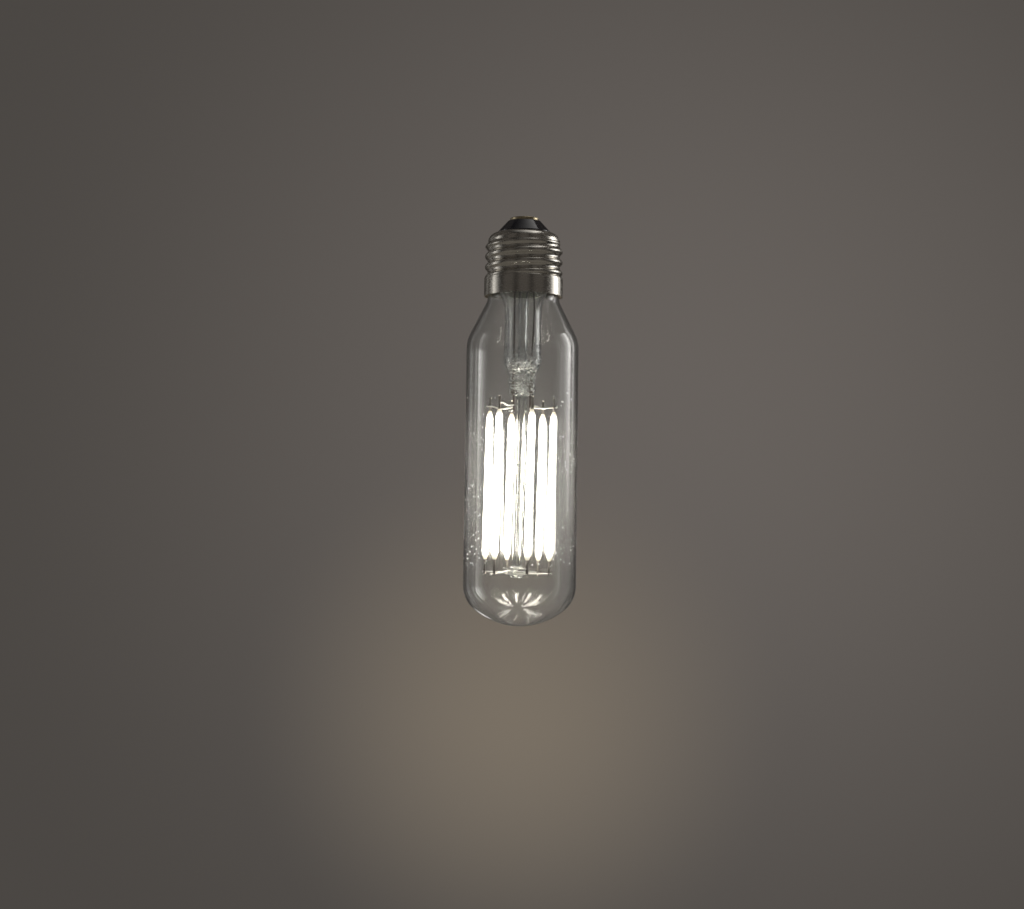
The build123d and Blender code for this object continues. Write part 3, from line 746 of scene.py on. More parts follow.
class LAMP_OT_pinch_stem(bpy.types.Operator):
    """Make the stem in one skin: button, rod, pinch, tube, flare, bore and exhaust tube"""

    bl_idname = "lamp.pinch_stem"
    bl_label = "Stem"

    def execute(self, context):
        stem, cage = context.scene.lamp_stem, context.scene.lamp_cage
        looks = context.scene.lamp_finishes
        bm = bmesh.new()
        add_skin(bm, self.rod(stem, cage) + self.pinch(stem) + self.tube(stem) + self.bore(stem))
        z_hole, z_tip = EXHAUST_LOW.z - stem.port_drop, EXHAUST_HIGH.z - EXHAUST_HIGH.x
        hollow = arc((0, z_hole), stem.exhaust_bore, -90, 0, 8)
        hollow += arc((0, z_tip), stem.exhaust_bore, 0, 90, 8)
        hollow[0], hollow[-1] = (0, hollow[0][1]), (0, hollow[-1][1])
        add_skin(bm, [ring(radius, z, stem.segments // 2) for radius, z in hollow], hollow=True)
        tree, pale = speck_tree(), speck_finish(looks)
        beads = {"Density": stem.bubbles, "Radius": stem.bubble_radius, "Patch": 300.0, "Seed": 3}
        bubbles = grown_mesh("bubbles", tree, self.layers(stem, (0.3, 0.55, 0.78)), beads)
        bubbles.flip_normals()
        bm.from_mesh(bubbles)
        mesh = smooth_mesh("stem_glass", bm, radians(60))
        flakes = {"Density": stem.flakes, "Radius": stem.flake_radius, "Patch": 420.0, "Seed": 8}
        flakes["Finish"] = pale
        flecks = grown_mesh("pinch_flakes", tree, self.layers(stem, (0.4, 0.66, 0.85)), flakes)
        place("pinch_flakes", flecks, pale, "stem_glass")
        clear, z_press = 0.985, STEM_LOW.z + stem.press_length
        z_straight = z_press + stem.taper_length
        material = glass_finish("Stem glass", looks.glass, clear, wave_scale=900, wave_depth=0.03 * MM)
        band = (z_press - 1.5 * MM, z_press + 1 * MM, z_straight - 1 * MM, z_straight + 5 * MM)
        frosted(material, clear, 0.4, band)
        place("stem_glass", mesh, material, "stem_glass", "stem_flare", "exhaust_tube", "support_rod")
        return {"FINISHED"}

    @staticmethod
    def rod(stem, cage):
        """Rings of the button and the rod, along the cage's axis."""
        placed = cage_placed(cage)
        h_top = lower_height(cage) + cage.button_above
        h_end = h_top - stem.button_height
        edge, foot = stem.button_edge, stem.rod_radius + stem.button_edge
        outline = [(0, h_end), (stem.button_end_radius * 0.5, h_end)]
        outline += arc((stem.button_end_radius - edge, h_end + edge), edge, -90, -10, 6)
        outline += arc((stem.button_radius - edge, h_top - edge), edge, -10, 90, 8)
        outline += arc((foot, h_top + edge), edge, 270, 180, 6)
        h_press = (placed.inverted() @ Vector((0, 0, STEM_LOW.z))).z - 2 * edge
        outline += run(outline[-1], (stem.rod_radius, h_press), 190)
        button_lumps, rod_lumps, seed = (stem.lump * 0.2, 500), (stem.grain, 1500), 3
        rings = []
        for radius, h in outline:
            points = ring(radius, h, stem.segments)
            if radius > 0:
                lumpy(points, *(button_lumps if h < h_top else rod_lumps), seed)
            rings.append([placed @ point for point in points])
        return rings

    @staticmethod
    def layers(stem, shares):
        """Nested oval bands in the pinch, on which bubbles and flakes lie."""
        power, rows, segments = 2.6, 8, 24
        z_low, z_high = STEM_LOW.z + 0.9 * MM, STEM_LOW.z + stem.press_length + 1.2 * MM
        heights = [z_low + (z_high - z_low) * i / rows for i in range(rows + 1)]
        halves = [(stem.press_half_width * share, stem.press_half_depth * share) for share in shares]
        bands = [[oval(*half, power, z, segments) for z in heights] for half in halves]
        return band_mesh("pinch_layers", bands)

    @staticmethod
    def pinch(stem):
        """Rings from the rod's foot over the flat pinch to the straight tube."""
        z_end, z_press = STEM_LOW.z, STEM_LOW.z + stem.press_length
        wide, deep, rod = stem.press_half_width, stem.press_half_depth, stem.rod_radius
        # Half widths, squareness and height of the rings where the rod grows into the pinch
        foot = (
            (rod * 1.04, rod * 1.04, 2, -0.8 * MM),
            (rod * 1.2, rod * 1.12, 2, -0.3 * MM),
            (rod * 1.6, rod * 1.25, 2.2, 0.05 * MM),
            (wide * 0.8, deep * 0.85, 2.6, 0.25 * MM),
            (wide * 0.93, deep * 0.95, 3, 0.6 * MM),
        )
        rings = [oval(*shape, z_end + rise, stem.segments) for *shape, rise in foot]
        square, foot_rise, flat_steps, taper_steps, swelling = 3.2, 1.1 * MM, 40, 34, 0.92
        for i in range(flat_steps + 1):
            z = z_end + foot_rise + (z_press - z_end - foot_rise) * i / flat_steps
            rings.append(oval(wide, deep, square, z, stem.segments))
        waist_x, waist_y, full = wide * stem.waist, deep * stem.waist, stem.radius + stem.bulge
        for i in range(1, taper_steps + 1):
            share = i / taper_steps
            swell = share**swelling
            half_x, half_y = waist_x + (full - waist_x) * swell, waist_y + (full - waist_y) * swell
            power = square - (square - 2) * share
            rings.append(oval(half_x, half_y, power, z_press + stem.taper_length * share, stem.segments))
        # Height, fading up the funnel, scale and seed of the coarse and the fine lumps
        lumps = ((stem.lump, 0.9, 750, 11), (stem.lump * 0.6, 0.85, 2300, 23))
        for points in rings:
            share = clamp((points[0].z - z_press) / stem.taper_length)
            for height, fading, scale, seed in lumps:
                lumpy(points, height * (1 - fading * share), scale, seed)
        z_port = EXHAUST_LOW.z - stem.port_drop
        port_x, port_half_width = -0.4 * MM, 1.5 * MM
        port_half_height, port_depth = 0.9 * MM, 2.1 * MM
        for point in (point for points in rings for point in points):
            off = hypot((point.x - port_x) / port_half_width, (point.z - z_port) / port_half_height)
            if point.y < 0 and off < 1:
                point.y += sqrt(1 - off**2) * port_depth
        return rings

    @staticmethod
    def tube(stem):
        """Rings up the outside of the tube and over the rim of the flare, and down the bore."""
        z_straight = STEM_LOW.z + stem.press_length + stem.taper_length
        z_flare = STEM_HIGH.z - stem.flare_height
        edge, bulge_fade = stem.wall / 2, 6 * MM
        outside = run((stem.radius, z_straight), (stem.radius, z_flare), 30)
        fades = [max(1 - (z - z_straight) / bulge_fade, 0) ** 2 for _, z in outside]
        outside = [(radius + stem.bulge * fade, z) for (radius, z), fade in zip(outside, fades)]
        outside += flare_arc((stem.radius, z_flare), (STEM_HIGH.x, STEM_HIGH.z - edge), 24)
        outside += arc((STEM_HIGH.x - edge, STEM_HIGH.z - edge), edge, 0, 180, 6)[1:-1]
        bore = stem.radius - stem.wall
        inside = flare_arc((bore, z_flare), (STEM_HIGH.x - stem.wall, STEM_HIGH.z - edge), 24)[::-1]
        inside += run((bore, z_flare), (bore, z_straight), 30)
        return [ring(radius, z, stem.segments) for radius, z in outside + inside]

    @staticmethod
    def bore(stem):
        """Rings of the cup inside the pinch and up the exhaust tube to its melted tip."""
        z_straight = STEM_LOW.z + stem.press_length + stem.taper_length
        bore, tube, fillet = stem.radius - stem.wall, EXHAUST_HIGH.x, 0.4 * MM
        shares = [i / 12 for i in range(13)]
        narrow = tube + fillet
        cup = [
            (
                narrow + (bore - tube - fillet) * cos(share * pi / 2),
                z_straight - stem.cavity_depth * sin(share * pi / 2),
            )
            for share in shares
        ]
        foot = arc((narrow, EXHAUST_LOW.z + fillet), fillet, 270, 180, 5)[1:]
        up = run((tube, EXHAUST_LOW.z + fillet), (tube, EXHAUST_HIGH.z - tube), 56)
        tip = arc((0, EXHAUST_HIGH.z - tube), tube, 0, 90, 10)
        tip[-1] = (0, tip[-1][1])
        rings = [ring(radius, z, stem.segments) for radius, z in cup + foot + up + tip]
        for share, points in zip(shares, rings):
            for point in points:
                point.z -= stem.wedge * sin(share * pi) * (point.x / point.xy.length) ** 4
        return [lumpy(points, stem.grain, 300, 5) for points in rings]


class LAMP_OT_hang_filaments(bpy.types.Operator):
    """Hang the ring of lit filaments with their pins and weld beads"""

    bl_idname = "lamp.hang_filaments"
    bl_label = "Filaments"

    def execute(self, context):
        cage, looks = context.scene.lamp_cage, context.scene.lamp_finishes
        tree = ring_tree()
        coat = coat_finish(looks)
        mesh = grown_mesh("filament_coats", tree, self.coat(cage), cage_inputs(cage, coat))
        place("filament_coats", mesh, coat, "filament_coat", *[f"filament_{i}" for i in FILAMENTS])
        oxide = metal_finish("Oxidised pin", looks.pin, rough=(0.3, 0.5), scale=2500, stretch=(1, 1, 0.2))
        bright = metal_finish("Weld bead", looks.bead, rough=(0.1, 0.22), scale=1500, tarnish=0.9)
        h_coat, h_end = -cage.upper_reach - cage.filament_length, lower_height(cage) - cage.lower_tail
        upper = self.pin(cage, "upper_pins", -cage.upper_reach - cage.pin_bury, cage.upper_tail)
        lower = self.pin(cage, "lower_pins", h_end, h_coat + cage.pin_bury)
        for start, nodes in ((upper, UPPER_PINS), (lower, LOWER_PINS)):
            mesh = grown_mesh(start.name, tree, start, cage_inputs(cage, oxide))
            place(start.name, mesh, oxide, "pin_metal", *nodes)
        for name, h_bead in (("lower_beads", h_end), ("upper_beads", cage.upper_tail)):
            mesh = grown_mesh(name, tree, self.bead(cage, h_bead), cage_inputs(cage, bright))
            place(name, mesh, bright, "pin_metal")
        return {"FINISHED"}

    @staticmethod
    def coat(cage):
        """One coated strip, a little flat, with rounded ends that glow less."""
        top = -cage.upper_reach
        bottom = top - cage.filament_length
        steps, straight, segments, flatness, uneven, dim_reach = 12, 40, 32, 0.94, 0.02, 1.3
        end, swell = [], cage.filament_radius - cage.filament_tip
        for i in range(steps + 1):
            share = i / steps
            end.append((cage.filament_tip + swell * sin(share * pi / 2), cage.filament_taper * share))
        start, length = cage.filament_taper, cage.filament_length - 2 * cage.filament_taper
        side = [(cage.filament_radius, start + length * i / straight) for i in range(1, straight)]
        other_end = [(radius, cage.filament_length - z) for radius, z in end[::-1]]
        rings = []
        for radius, z in [(0, 0), *end, *side, *other_end, (0, cage.filament_length)]:
            points = ring(radius, bottom + z, segments)
            for point in points:
                point.x *= flatness
                point.xy *= 1 + uneven * noise.noise(point * 400)
            rings.append(points)
        bm = bmesh.new()
        add_skin(bm, rings)
        mesh = smooth_mesh("coat_start", bm, radians(70))
        glow = mesh.attributes.new("glow", "FLOAT", "POINT")
        for value, vertex in zip(glow.data, mesh.vertices):
            from_end = min(top - vertex.co.z, vertex.co.z - bottom)
            value.value = clamp(from_end / (cage.filament_taper * dim_reach)) ** 3
        return mesh

    @staticmethod
    def pin(cage, name, low, high):
        """One flat pin with softened edges."""
        bm = bmesh.new()
        bmesh.ops.create_cube(bm, size=1)
        for vertex in bm.verts:
            vertex.co.x *= cage.pin_thickness
            vertex.co.y *= cage.pin_width
            vertex.co.z = low if vertex.co.z < 0 else high
        bmesh.ops.bevel(bm, geom=bm.edges[:], offset=cage.pin_edge, segments=2, affect="EDGES", profile=0.5)
        return smooth_mesh(name, bm)

    @staticmethod
    def bead(cage, h_bead):
        """One melted bead on the end of a pin."""
        bm, flatness = bmesh.new(), 0.8
        bmesh.ops.create_uvsphere(bm, u_segments=16, v_segments=10, radius=cage.bead_radius)
        for vertex in bm.verts:
            vertex.co.z = vertex.co.z * flatness + h_bead
        return smooth_mesh("bead_start", bm)


class LAMP_OT_bend_wires(bpy.types.Operator):
    """Bend the lead-in wires, the six upper wires and the three lower wires"""

    bl_idname = "lamp.bend_wires"
    bl_label = "Wires"

    def execute(self, context):
        cage, looks = context.scene.lamp_cage, context.scene.lamp_finishes
        tree = wire_tree()
        drawn = {"rough": (0.35, 0.55), "scale": 3000, "stretch": (1, 1, 0.3), "tarnish": 0.85}
        bright = metal_finish("Nickel wire", looks.wire, **drawn)
        dark = metal_finish("Lead-in wire", looks.lead, rough=(0.3, 0.55), scale=2500, stretch=(1, 1, 0.2))
        leads = self.leads(cage, context.scene.lamp_stem)
        lead_nodes = ["lead_wire_left", "lead_wire_right"]
        upper_nodes = [f"upper_wire_{i}" for i in FILAMENTS]
        lower_nodes = [f"lower_wire_{i}" for i in LOWER_WIRES]
        for name, paths, radius, material, slot, nodes in (
            ("lead_wires", leads, cage.lead_radius, dark, "lead_wire", lead_nodes),
            ("upper_wires", self.upper(cage), cage.wire_radius, bright, "support_wire", upper_nodes),
            ("lower_wires", self.lower(cage), cage.wire_radius, bright, "support_wire", lower_nodes),
        ):
            inputs = {"Radius": radius, "Sides": 14, "Finish": material}
            mesh = grown_mesh(name, tree, paths_mesh(name + "_paths", paths), inputs)
            mesh.shade_smooth()
            mesh.set_sharp_from_angle(angle=radians(50))
            place(name, mesh, material, slot, *nodes)
        return {"FINISHED"}

    @staticmethod
    def leads(cage, stem):
        """Paths of the two lead-in wires, held by the board and the pinch and bowed a little between."""
        z_top, z_pinch = LEAD_HIGH.z, STEM_LOW.z + stem.press_length
        grip, loose, forward = 2 * MM, 4 * MM, 0.2 * MM
        z_bow = z_top + (z_pinch - z_top) * 0.4
        paths = []
        for side, bow in ((-1, 0.15 * MM), (1, 0.95 * MM)):
            x = side * cage.lead_offset
            path = [(x, 0, z_top), (x, 0, z_top - grip), (x + side * bow, -forward, z_bow)]
            path += [(x + side * bow * 0.3, -forward / 2, z_pinch + loose), (x, 0, z_pinch)]
            paths.append(path + [(x, 0, STEM_LOW.z), (x, 0, LEAD_LOW.z)])
        return paths

    @staticmethod
    def upper(cage):
        """Paths of the wires from the lead-in wires past the upper pins."""
        placed, angles = cage_placed(cage), cage_angles(cage)
        aside = hypot(cage.pin_width, cage.pin_thickness) / 2 + cage.wire_radius + cage.weld_gap
        sags = (0.25, -0.2, 0.3, 0.75, 0.45, -0.25)
        paths = []
        for angle, sag in zip(angles, sags):
            side = 1 if cos(angle) > 0 else -1
            fed = sorted((other for other in angles if cos(other) * side > 0), key=sin)
            h = cage.wire_stack * side * (fed.index(angle) - (len(fed) - 1) / 2)
            lead = Vector((side * cage.lead_offset, 0, h))
            to_pin = Vector((cos(angle), sin(angle), 0)) * cage.radius - Vector((lead.x, 0, 0))
            reach = to_pin.length
            along = Matrix.Rotation(asin(aside / reach), 3, "Z") @ to_pin.normalized()
            drop = Vector((0, 0, -sag * MM))
            stops = (
                (cage.lead_radius * 0.6, 0),
                (reach * 0.25, 0.6),
                (reach * 0.55, 1),
                (reach * 0.85, 0),
                (reach + cage.wire_tail * 0.4, 0),
                (reach + cage.wire_tail, -0.3),
            )
            paths.append([placed @ (lead + along * far + drop * share) for far, share in stops])
        return paths

    @staticmethod
    def lower(cage):
        """Paths of the wires that join opposite pins through the button."""
        placed = cage_placed(cage)
        aside = cage.pin_width / 2 + cage.wire_radius + cage.weld_gap
        # Reaches from the axis: the tail's end, just past the pin, the bend and the button's side
        tail, pin = cage.radius + cage.wire_tail, cage.radius + 0.2 * MM
        bend, button = cage.radius * 0.62, 3.4 * MM
        lifts = ((0.25, 0.2), (-0.3, -1.5), (0.3, 0.2))
        paths = []
        for i, (angle, (near, far)) in enumerate(zip(cage_angles(cage), lifts)):
            h = lower_height(cage) + cage.wire_stack * (i - (len(lifts) - 1) / 2)
            side = Vector((-sin(angle), cos(angle), 0)) * aside + Vector((0, 0, h))
            out, up = Vector((cos(angle), sin(angle), 0)), Vector((0, 0, MM))
            stops = [(tail, near), (pin, near * 0.3), (bend, 0), (button, 0), (0, 0), (-button, 0)]
            stops += [(-bend, far * 0.45), (-pin, far * 0.8), (-tail, far)]
            paths.append([placed @ (side + out * reach + up * lift) for reach, lift in stops])
        return paths


class LAMP_OT_roll_cap(bpy.types.Operator):
    """Roll the screw shell and set the black glass, the contact and the cement in it"""

    bl_idname = "lamp.roll_cap"
    bl_label = "Screw cap"

    def execute(self, context):
        cap, tube = context.scene.lamp_cap, context.scene.lamp_tube
        looks = context.scene.lamp_finishes
        turned = {"rough": (0.16, 0.3), "scale": 900, "stretch": (1, 1, 6)}
        turned |= {"depth": 0.005 * MM, "tarnish": 0.85}
        nickel = metal_finish("Nickel plate", looks.shell, **turned)
        place("rolled_shell", self.shell(cap), nickel, "cap_shell", "screw_shell")
        poured = {"rough": 0.12, "scale": 700, "depth": 0.02 * MM, "variation": 1.6}
        black = moulded_finish("Black glass", looks.black_glass, **poured)
        place("poured_insulator", self.insulator(cap), black, "black_glass", "cap_insulator")
        brass = metal_finish("Tinned brass", looks.brass, rough=(0.22, 0.42), scale=1200, depth=0.012 * MM)
        place("contact_rivet", self.contact(cap), brass, "contact_brass", "centre_contact")
        crumbly = {"rough": 0.9, "scale": 900, "depth": 0.12 * MM, "variation": 0.7}
        baked = moulded_finish("Baked cement", looks.cement, **crumbly)
        place("cement_ring", self.cement(cap, tube), baked, "cement", "cap_cement")
        return {"FINISHED"}

    @staticmethod
    def wave(cap, from_crest):
        """Radius of the rolled thread at a height from its nearest crest."""
        rounding, half = cap.thread_round, cap.thread_pitch / 2
        crest = cap.thread_radius - rounding
        root = cap.thread_radius - cap.thread_depth + rounding
        reach = hypot(root - crest, half)
        normal = atan2(half, root - crest) - acos(min(2 * rounding / reach, 1))
        leave, meet = rounding * sin(normal), half - rounding * sin(normal)
        height = abs(from_crest)
        if height <= leave:
            return crest + sqrt(rounding**2 - height**2)
        if height >= meet:
            return root - sqrt(rounding**2 - (half - height) ** 2)
        share = (height - leave) / (meet - leave)
        return crest + rounding * cos(normal) + share * (root - crest - 2 * rounding * cos(normal))

    def shell(self, cap):
        """The rolled shell, both faces of one thin sheet."""
        outside, inside = self.shell_face(cap, 0), self.shell_face(cap, cap.sheet)
        return closed_mesh("rolled_shell", [*outside, *inside[::-1], outside[0]])

    def shell_face(self, cap, inset):
        """Rings of one face of the shell, from the skirt's rim up to the turned-in lip."""
        root, skirt = cap.thread_radius - cap.thread_depth, SHELL_HIGH.x
        z_skirt = SHELL_LOW.z + cap.skirt_length
        z_core, z_round = z_skirt + cap.skirt_cone, SHELL_HIGH.z - cap.shell_round
        z_crest = z_skirt - cap.thread_pitch / 2
        edge_height, edge_inset, thread_rows = 0.3 * MM, 0.05 * MM, 100
        rim, bend = (skirt - inset, SHELL_LOW.z), (skirt - inset, z_skirt - edge_height)
        edge = (skirt - edge_inset - inset, z_skirt)
        outline = [rim, *run(rim, bend, 8), bend, edge, *run(edge, (root - inset, z_core), 6)]
        threaded = [z_core + (z_round - z_core) * i / thread_rows for i in range(thread_rows + 1)]
        outline += [(root - inset, z) for z in threaded]
        outline += arc((root - cap.shell_round, z_round), cap.shell_round - inset, 0, 90, 16)[1:]
        rings = []
        for radius, z in outline:
            points = []
            for i in range(cap.segments):
                turn, wide = 2 * pi * i / cap.segments, radius
                if z_skirt < z <= z_round:
                    lag = (z - z_crest) / cap.thread_pitch - turn / (2 * pi)
                    ridge = self.wave(cap, (lag - round(lag)) * cap.thread_pitch) - inset
                    fade = clamp((z_round - z) / cap.thread_runout)
                    wide = max(radius, root - inset + (ridge - root + inset) * fade)
                points.append(Vector((wide * cos(turn), wide * sin(turn), z)))
            rings.append(points)
        return rings

    @staticmethod
    def insulator(cap):
        """The poured black glass, with a meniscus against the lip and a hole for the shank."""
        hole, flat, wide = cap.shank_radius + FIT, cap.contact_radius + cap.ledge, INSULATOR_HIGH.x
        lip = cap.thread_radius - cap.thread_depth - cap.shell_round - FIT
        z_lip, z_top, z_low = SHELL_HIGH.z, -cap.contact_thickness, INSULATOR_LOW.z
        z_under = z_lip - cap.sheet - FIT
        ledge_edge, ledge_sink = 0.3 * MM, 0.06 * MM
        meniscus, meniscus_high, meniscus_low = 0.15 * MM, 0.55 * MM, 0.4 * MM
        slope_top = (flat + 0.25 * MM, z_top - 0.3 * MM)
        slope_end = (lip - meniscus, z_lip + meniscus_high)
        profile = [(hole, z_low), (hole, z_top), (flat - ledge_edge, z_top), (flat, z_top - ledge_sink)]
        profile += [slope_top, *run(slope_top, slope_end, 14), slope_end]
        profile += [(lip, z_lip + meniscus_low), (lip, z_under)]
        for turn in (0.4, 0.8, 1.2, pi / 2):
            profile.append((lip + (wide - lip) * sin(turn), z_low + (z_under - z_low) * cos(turn)))
        return lathe("poured_insulator", [*profile, profile[0]], 120)

    @staticmethod
    def contact(cap):
        """The rivet: a head with a rounded edge and a shallow dish, and its shank."""
        edge, rim = cap.contact_edge, cap.contact_radius
        # Radius and height of the dish's points in millimetres
        dish = ((0, -0.22), (1.2, -0.2), (1.8, -0.12), (2.4, -0.03), (2.9, 0))
        profile = [(radius * MM, z * MM) for radius, z in dish]
        profile += arc((rim - edge, -edge), edge, 90, 0, 8)
        profile += [(rim, -cap.contact_thickness), (cap.shank_radius, -cap.contact_thickness)]
        profile += [(cap.shank_radius, CONTACT_LOW.z), (0, CONTACT_LOW.z)]
        return lathe("contact_rivet", profile, 96)

    @staticmethod
    def cement(cap, tube):
        """The baked cement that fills the skirt round the neck, with a rough lower face."""
        inner, outer = tube.neck_radius + FIT, SHELL_HIGH.x - cap.sheet - FIT
        lift_inner, lift_outer, segments, crumb_scale = 0.15 * MM, 0.2 * MM, 160, 700
        low_inner, low_outer = (inner, CEMENT_LOW.z + lift_inner), (outer, CEMENT_LOW.z + lift_outer)
        high_inner, high_outer = (inner, CEMENT_HIGH.z), (outer, CEMENT_HIGH.z)
        profile = [low_inner, *run(low_inner, high_inner, 6), high_inner, high_outer]
        profile += [*run(high_outer, low_outer, 6), low_outer, *run(low_outer, low_inner, 5)]
        rings = [ring(radius, z, segments) for radius, z in profile]
        for points in rings[-4:]:
            for point in points:
                point.z -= cap.crumb * (1 + noise.noise(point * crumb_scale)) / 2
        return closed_mesh("cement_ring", rings + rings[:1])


class LAMP_OT_finish_driver(bpy.types.Operator):
    """Give the driver's board and components in the cap their finishes"""

    bl_idname = "lamp.finish_driver"
    bl_label = "Driver"

    def execute(self, context):
        looks = context.scene.lamp_finishes
        moulded = {"rough": 0.45, "scale": 2500, "depth": 0.01 * MM, "variation": 1.5}
        package = moulded_finish("Moulded package", looks.package, **moulded)
        coated = {"rough": 0.35, "scale": 1500, "depth": 0.01 * MM}
        lacquered = {"rough": 0.35, "scale": 1800, "depth": 0.02 * MM}
        tinned = metal_finish("Tinned lead", looks.wire, rough=(0.25, 0.45), scale=2500)
        sleeve = metal_finish("Sleeved can", looks.can, rough=(0.3, 0.5), scale=1200, stretch=(1, 1, 0.2))
        finishes = {
            "driver_board": moulded_finish("Coated board", looks.board, **coated),
            "rectifier_bridge": package,
            "driver_chip": package,
            "smoothing_capacitor": sleeve,
            "fuse_resistor": moulded_finish("Lacquered body", looks.lacquer, **lacquered),
            "contact_lead": tinned,
            "shell_lead": tinned,
        }
        for node, material in finishes.items():
            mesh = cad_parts[node].data
            mesh.materials.clear()
            mesh.materials.append(material)
        return {"FINISHED"}


class Softbox(NamedTuple):
    """A soft light that grows from a dim edge to a bright one.

    Its edges are at azimuths in degrees from the camera's side of the lamp, its middle is lifted above
    the lamp's, and it rises to its full level between two heights above its own middle. A flat one
    lies a metre over the lamp instead."""

    name: str
    dim: float
    bright: float
    height: float
    rise: tuple
    level: float
    lift: float = 0
    flat: bool = False


SOFTBOXES = (
    Softbox("right_softbox", 80, 116, height=1.3, rise=(-0.01, 0.14), level=5.5),
    Softbox("right_strip", 138, 124, height=1.3, rise=(-0.01, 0.14), level=2.6),
    Softbox("left_softbox", -71, -101, height=1.3, rise=(-0.6, -0.4), level=1.45),
    Softbox("left_strip", -116, -108, height=1.3, rise=(-0.6, -0.4), level=0.6),
    Softbox("left_edge", -140, -130, height=1.3, rise=(-0.6, -0.4), level=0.5),
    Softbox("low_reflector", -160, -170, height=0.16, rise=(-0.08, 0.0), level=4.0, lift=-0.4),
    Softbox("top_softbox", -25, 25, height=0.9, rise=(-0.45, 0.1), level=1.6, flat=True),
)


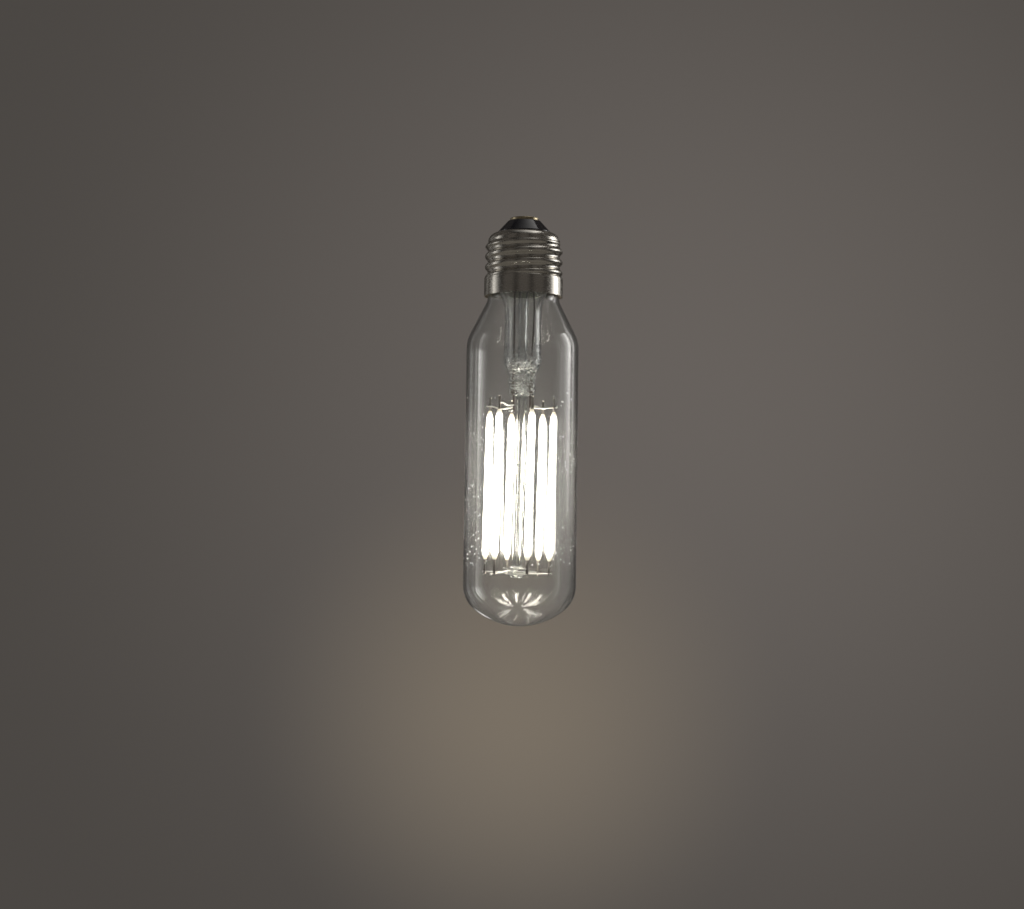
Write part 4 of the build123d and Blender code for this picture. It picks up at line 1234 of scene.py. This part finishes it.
class LAMP_OT_set_stage(bpy.types.Operator):
    """Set the camera, the soft lights, the background with its painted light and shade, and the pale floor
    """

    bl_idname = "lamp.set_stage"
    bl_label = "Stage"

    def execute(self, context):
        scene, stage = context.scene, context.scene.lamp_stage
        self.camera(scene, stage)
        self.world(scene, stage)
        for light in SOFTBOXES:
            self.softbox(scene, light)
        self.floor(scene, stage)
        scene.view_settings.view_transform = "Standard"
        scene.cycles.max_bounces = 40
        scene.cycles.transmission_bounces = 40
        scene.cycles.glossy_bounces = 16
        scene.cycles.sample_clamp_indirect = 0
        return {"FINISHED"}

    @staticmethod
    def camera(scene, stage):
        """Camera a little above the dome's end, looking a little upwards."""
        data = bpy.data.cameras.new("camera")
        data.lens, data.sensor_width = stage.lens, 36
        data.clip_start, data.clip_end = 0.01, 100
        camera = bpy.data.objects.new("camera", data)
        scene.collection.objects.link(camera)
        look = Matrix.Rotation(pi / 2 + stage.pitch, 4, "X") @ Matrix.Rotation(stage.roll, 4, "Z")
        spot = Vector((stage.aside, -stage.distance, TUBE_LOW.z + stage.height))
        camera.matrix_world = Matrix.Translation(spot) @ look
        scene.camera = camera

    @staticmethod
    def world(scene, stage):
        """One background for the camera and for glass and metal, painted lighter behind and below the lamp
        and darker away from it, and even light for the rest.
        """
        scene.world = bpy.data.worlds.new("studio")
        scene.world.use_nodes = True
        tree = scene.world.node_tree
        tree.nodes.clear()
        rays = add_node(tree, "ShaderNodeLightPath").outputs
        seen = calc(tree, "MAXIMUM", rays["Is Camera Ray"], rays["Is Glossy Ray"])
        clear = calc(tree, "MAXIMUM", seen, rays["Is Transmission Ray"])
        shown = calc(tree, "MULTIPLY", clear, calc(tree, "LESS_THAN", rays["Diffuse Depth"], 0.5))
        way = add_node(tree, "ShaderNodeTexCoord").outputs["Generated"]
        smooth = {"interpolation_type": "SMOOTHSTEP"}

        def fade(middle, reach):
            """How far a direction lies from the middle of a patch of the background, up to 1."""
            ends = {0: way, 1: Vector(middle).normalized()}
            off = add_node(tree, "ShaderNodeVectorMath", ends, operation="DISTANCE").outputs["Value"]
            return result(tree, "ShaderNodeMapRange", {"Value": off, "From Max": reach}, **smooth)

        # Painted light on the background: lighter behind the lamp, painted shade away from it, and a
        # painted pool of light just below it.
        wide = fade(middle=(0.085, 1, 0.082), reach=0.39)
        pool = fade(middle=(0.004, 1, -0.070), reach=0.14)
        wall = blend_colours(tree, wide, stage.backdrop, stage.backdrop_painted_shade)
        wall = blend_colours(tree, pool, stage.backdrop_painted_light_pool, wall)
        flag_count = 8.0
        axes = add_node(tree, "ShaderNodeSeparateXYZ", {0: way}).outputs
        azimuth = calc(tree, "ARCTAN2", axes["X"], axes["Y"])
        beat = calc(tree, "COSINE", calc(tree, "MULTIPLY", azimuth, flag_count))
        inputs = {"Value": beat, "From Min": -0.9, "From Max": -0.2, "To Min": stage.flags, "To Max": 1.0}
        flag = result(tree, "ShaderNodeMapRange", inputs, **smooth)
        direct = calc(tree, "MAXIMUM", flag, rays["Is Camera Ray"])
        plain = result(tree, "ShaderNodeBackground", {"Color": wall, "Strength": direct})
        even = result(tree, "ShaderNodeBackground", {"Color": rgba(WARM_WHITE), "Strength": stage.ambient})
        mixed = result(tree, "ShaderNodeMixShader", {0: shown, 1: even, 2: plain})
        add_node(tree, "ShaderNodeOutputWorld", {"Surface": mixed})

    def softbox(self, scene, light):
        """One soft light, which the camera doesn't see."""
        azimuth = radians((light.dim + light.bright) / 2)
        width = 2 * tan(radians(abs(light.bright - light.dim) / 2))
        bm = bmesh.new()
        bmesh.ops.create_grid(bm, x_segments=1, y_segments=1, size=0.5)
        for vertex in bm.verts:
            vertex.co.x *= width
            vertex.co.y *= light.height
        mesh = plain_mesh(light.name, bm)
        mesh.materials.append(self.softbox_finish(light, width))
        box = bpy.data.objects.new(light.name, mesh)
        scene.collection.objects.link(box)
        away, upright = Vector((sin(azimuth), -cos(azimuth), 0)), Vector((0, 0, 1))
        along = upright.cross(away) * (1 if light.bright > light.dim else -1)
        turn = Matrix((along, upright, along.cross(upright))).transposed()
        middle = away + upright * (light.lift + (TUBE_LOW.z + TUBE_HIGH.z) / 2)
        box.matrix_world = Matrix.Translation(middle) @ turn.to_4x4()
        if light.flat:
            box.matrix_world = Matrix.Translation(upright)
        box.visible_camera = False
        box.visible_transmission = not light.lift

    @staticmethod
    def softbox_finish(light, width):
        """Light that grows across the panel, clear to rays that come straight through the glass."""
        material = bpy.data.materials.new(light.name)
        material.use_nodes = True
        tree = material.node_tree
        tree.nodes.clear()
        dimmest, bend = 0.02, 2.0
        spot = add_node(tree, "ShaderNodeTexCoord").outputs["Object"]
        axes = add_node(tree, "ShaderNodeSeparateXYZ", {0: spot}).outputs
        across = calc(tree, "POWER", spread(tree, axes["X"], 0.0, 1.0, -width / 2, width / 2), bend)
        both = calc(tree, "MULTIPLY", across, spread(tree, axes["Y"], dimmest, 1.0, *light.rise))
        strength = calc(tree, "MULTIPLY", both, light.level)
        glow = result(tree, "ShaderNodeEmission", {"Color": rgba(WARM_WHITE), "Strength": strength})
        rays = add_node(tree, "ShaderNodeLightPath").outputs
        bounces = calc(tree, "ADD", rays["Glossy Depth"], rays["Diffuse Depth"])
        unbounced = calc(tree, "LESS_THAN", bounces, 0.5)
        through = calc(tree, "MULTIPLY", rays["Is Transmission Ray"], unbounced)
        clear = result(tree, "ShaderNodeBsdfTransparent")
        shown = result(tree, "ShaderNodeMixShader", {0: through, 1: glow, 2: clear})
        add_node(tree, "ShaderNodeOutputMaterial", {"Surface": shown})
        return material

    @staticmethod
    def floor(scene, stage):
        """A round pale floor well below the lamp, which glass and metal show as plain wall."""
        bm = bmesh.new()
        bmesh.ops.create_circle(bm, cap_ends=True, segments=96, radius=4)
        for vertex in bm.verts:
            vertex.co.z = TUBE_LOW.z - stage.floor_drop
        mesh = plain_mesh("floor", bm)
        plain = {"rough": 0.8, "scale": 60, "depth": 0.2 * MM, "variation": 0.97}
        pale = moulded_finish("Pale floor", stage.floor, **plain)
        tree = pale.node_tree
        rays = add_node(tree, "ShaderNodeLightPath").outputs
        mirrored = calc(tree, "MAXIMUM", rays["Is Glossy Ray"], rays["Is Transmission Ray"])
        wall = result(tree, "ShaderNodeEmission", {"Color": rgba(stage.floor_mirrored), "Strength": 1.0})
        inputs = {0: mirrored, 1: tree.nodes["Principled BSDF"].outputs[0], 2: wall}
        mixed = result(tree, "ShaderNodeMixShader", inputs)
        tree.links.new(mixed, tree.nodes["Output"].inputs["Surface"])
        mesh.materials.append(pale)
        floor = bpy.data.objects.new("floor", mesh)
        scene.collection.objects.link(floor)


class LAMP_PT_panel(bpy.types.Panel):
    """Lists the pieces of the lamp"""

    bl_idname = "LAMP_PT_panel"
    bl_label = "Tubular lamp"
    bl_space_type = "VIEW_3D"
    bl_region_type = "UI"
    bl_category = "Lamp"

    def draw(self, context):
        for operator in OPERATORS:
            self.layout.operator(operator.bl_idname)


GROUPS = {
    "lamp_tube": TubeSizes,
    "lamp_stem": StemSizes,
    "lamp_cage": CageSizes,
    "lamp_cap": CapSizes,
    "lamp_finishes": Finishes,
    "lamp_stage": StageSettings,
}
OPERATORS = (
    LAMP_OT_blow_tube,
    LAMP_OT_scatter_specks,
    LAMP_OT_pinch_stem,
    LAMP_OT_hang_filaments,
    LAMP_OT_bend_wires,
    LAMP_OT_roll_cap,
    LAMP_OT_finish_driver,
    LAMP_OT_set_stage,
)


def register():
    for cls in (*GROUPS.values(), *OPERATORS, LAMP_PT_panel):
        bpy.utils.register_class(cls)
    for name, group in GROUPS.items():
        setattr(bpy.types.Scene, name, PointerProperty(type=group))


def unregister():
    for name in GROUPS:
        delattr(bpy.types.Scene, name)
    for cls in (LAMP_PT_panel, *OPERATORS[::-1], *list(GROUPS.values())[::-1]):
        bpy.utils.unregister_class(cls)


def main():
    register()
    bpy.ops.lamp.blow_tube()
    bpy.ops.lamp.scatter_specks()
    bpy.ops.lamp.pinch_stem()
    bpy.ops.lamp.hang_filaments()
    bpy.ops.lamp.bend_wires()
    bpy.ops.lamp.roll_cap()
    bpy.ops.lamp.finish_driver()
    bpy.ops.lamp.set_stage()


if __name__ == "__main__":
    main()
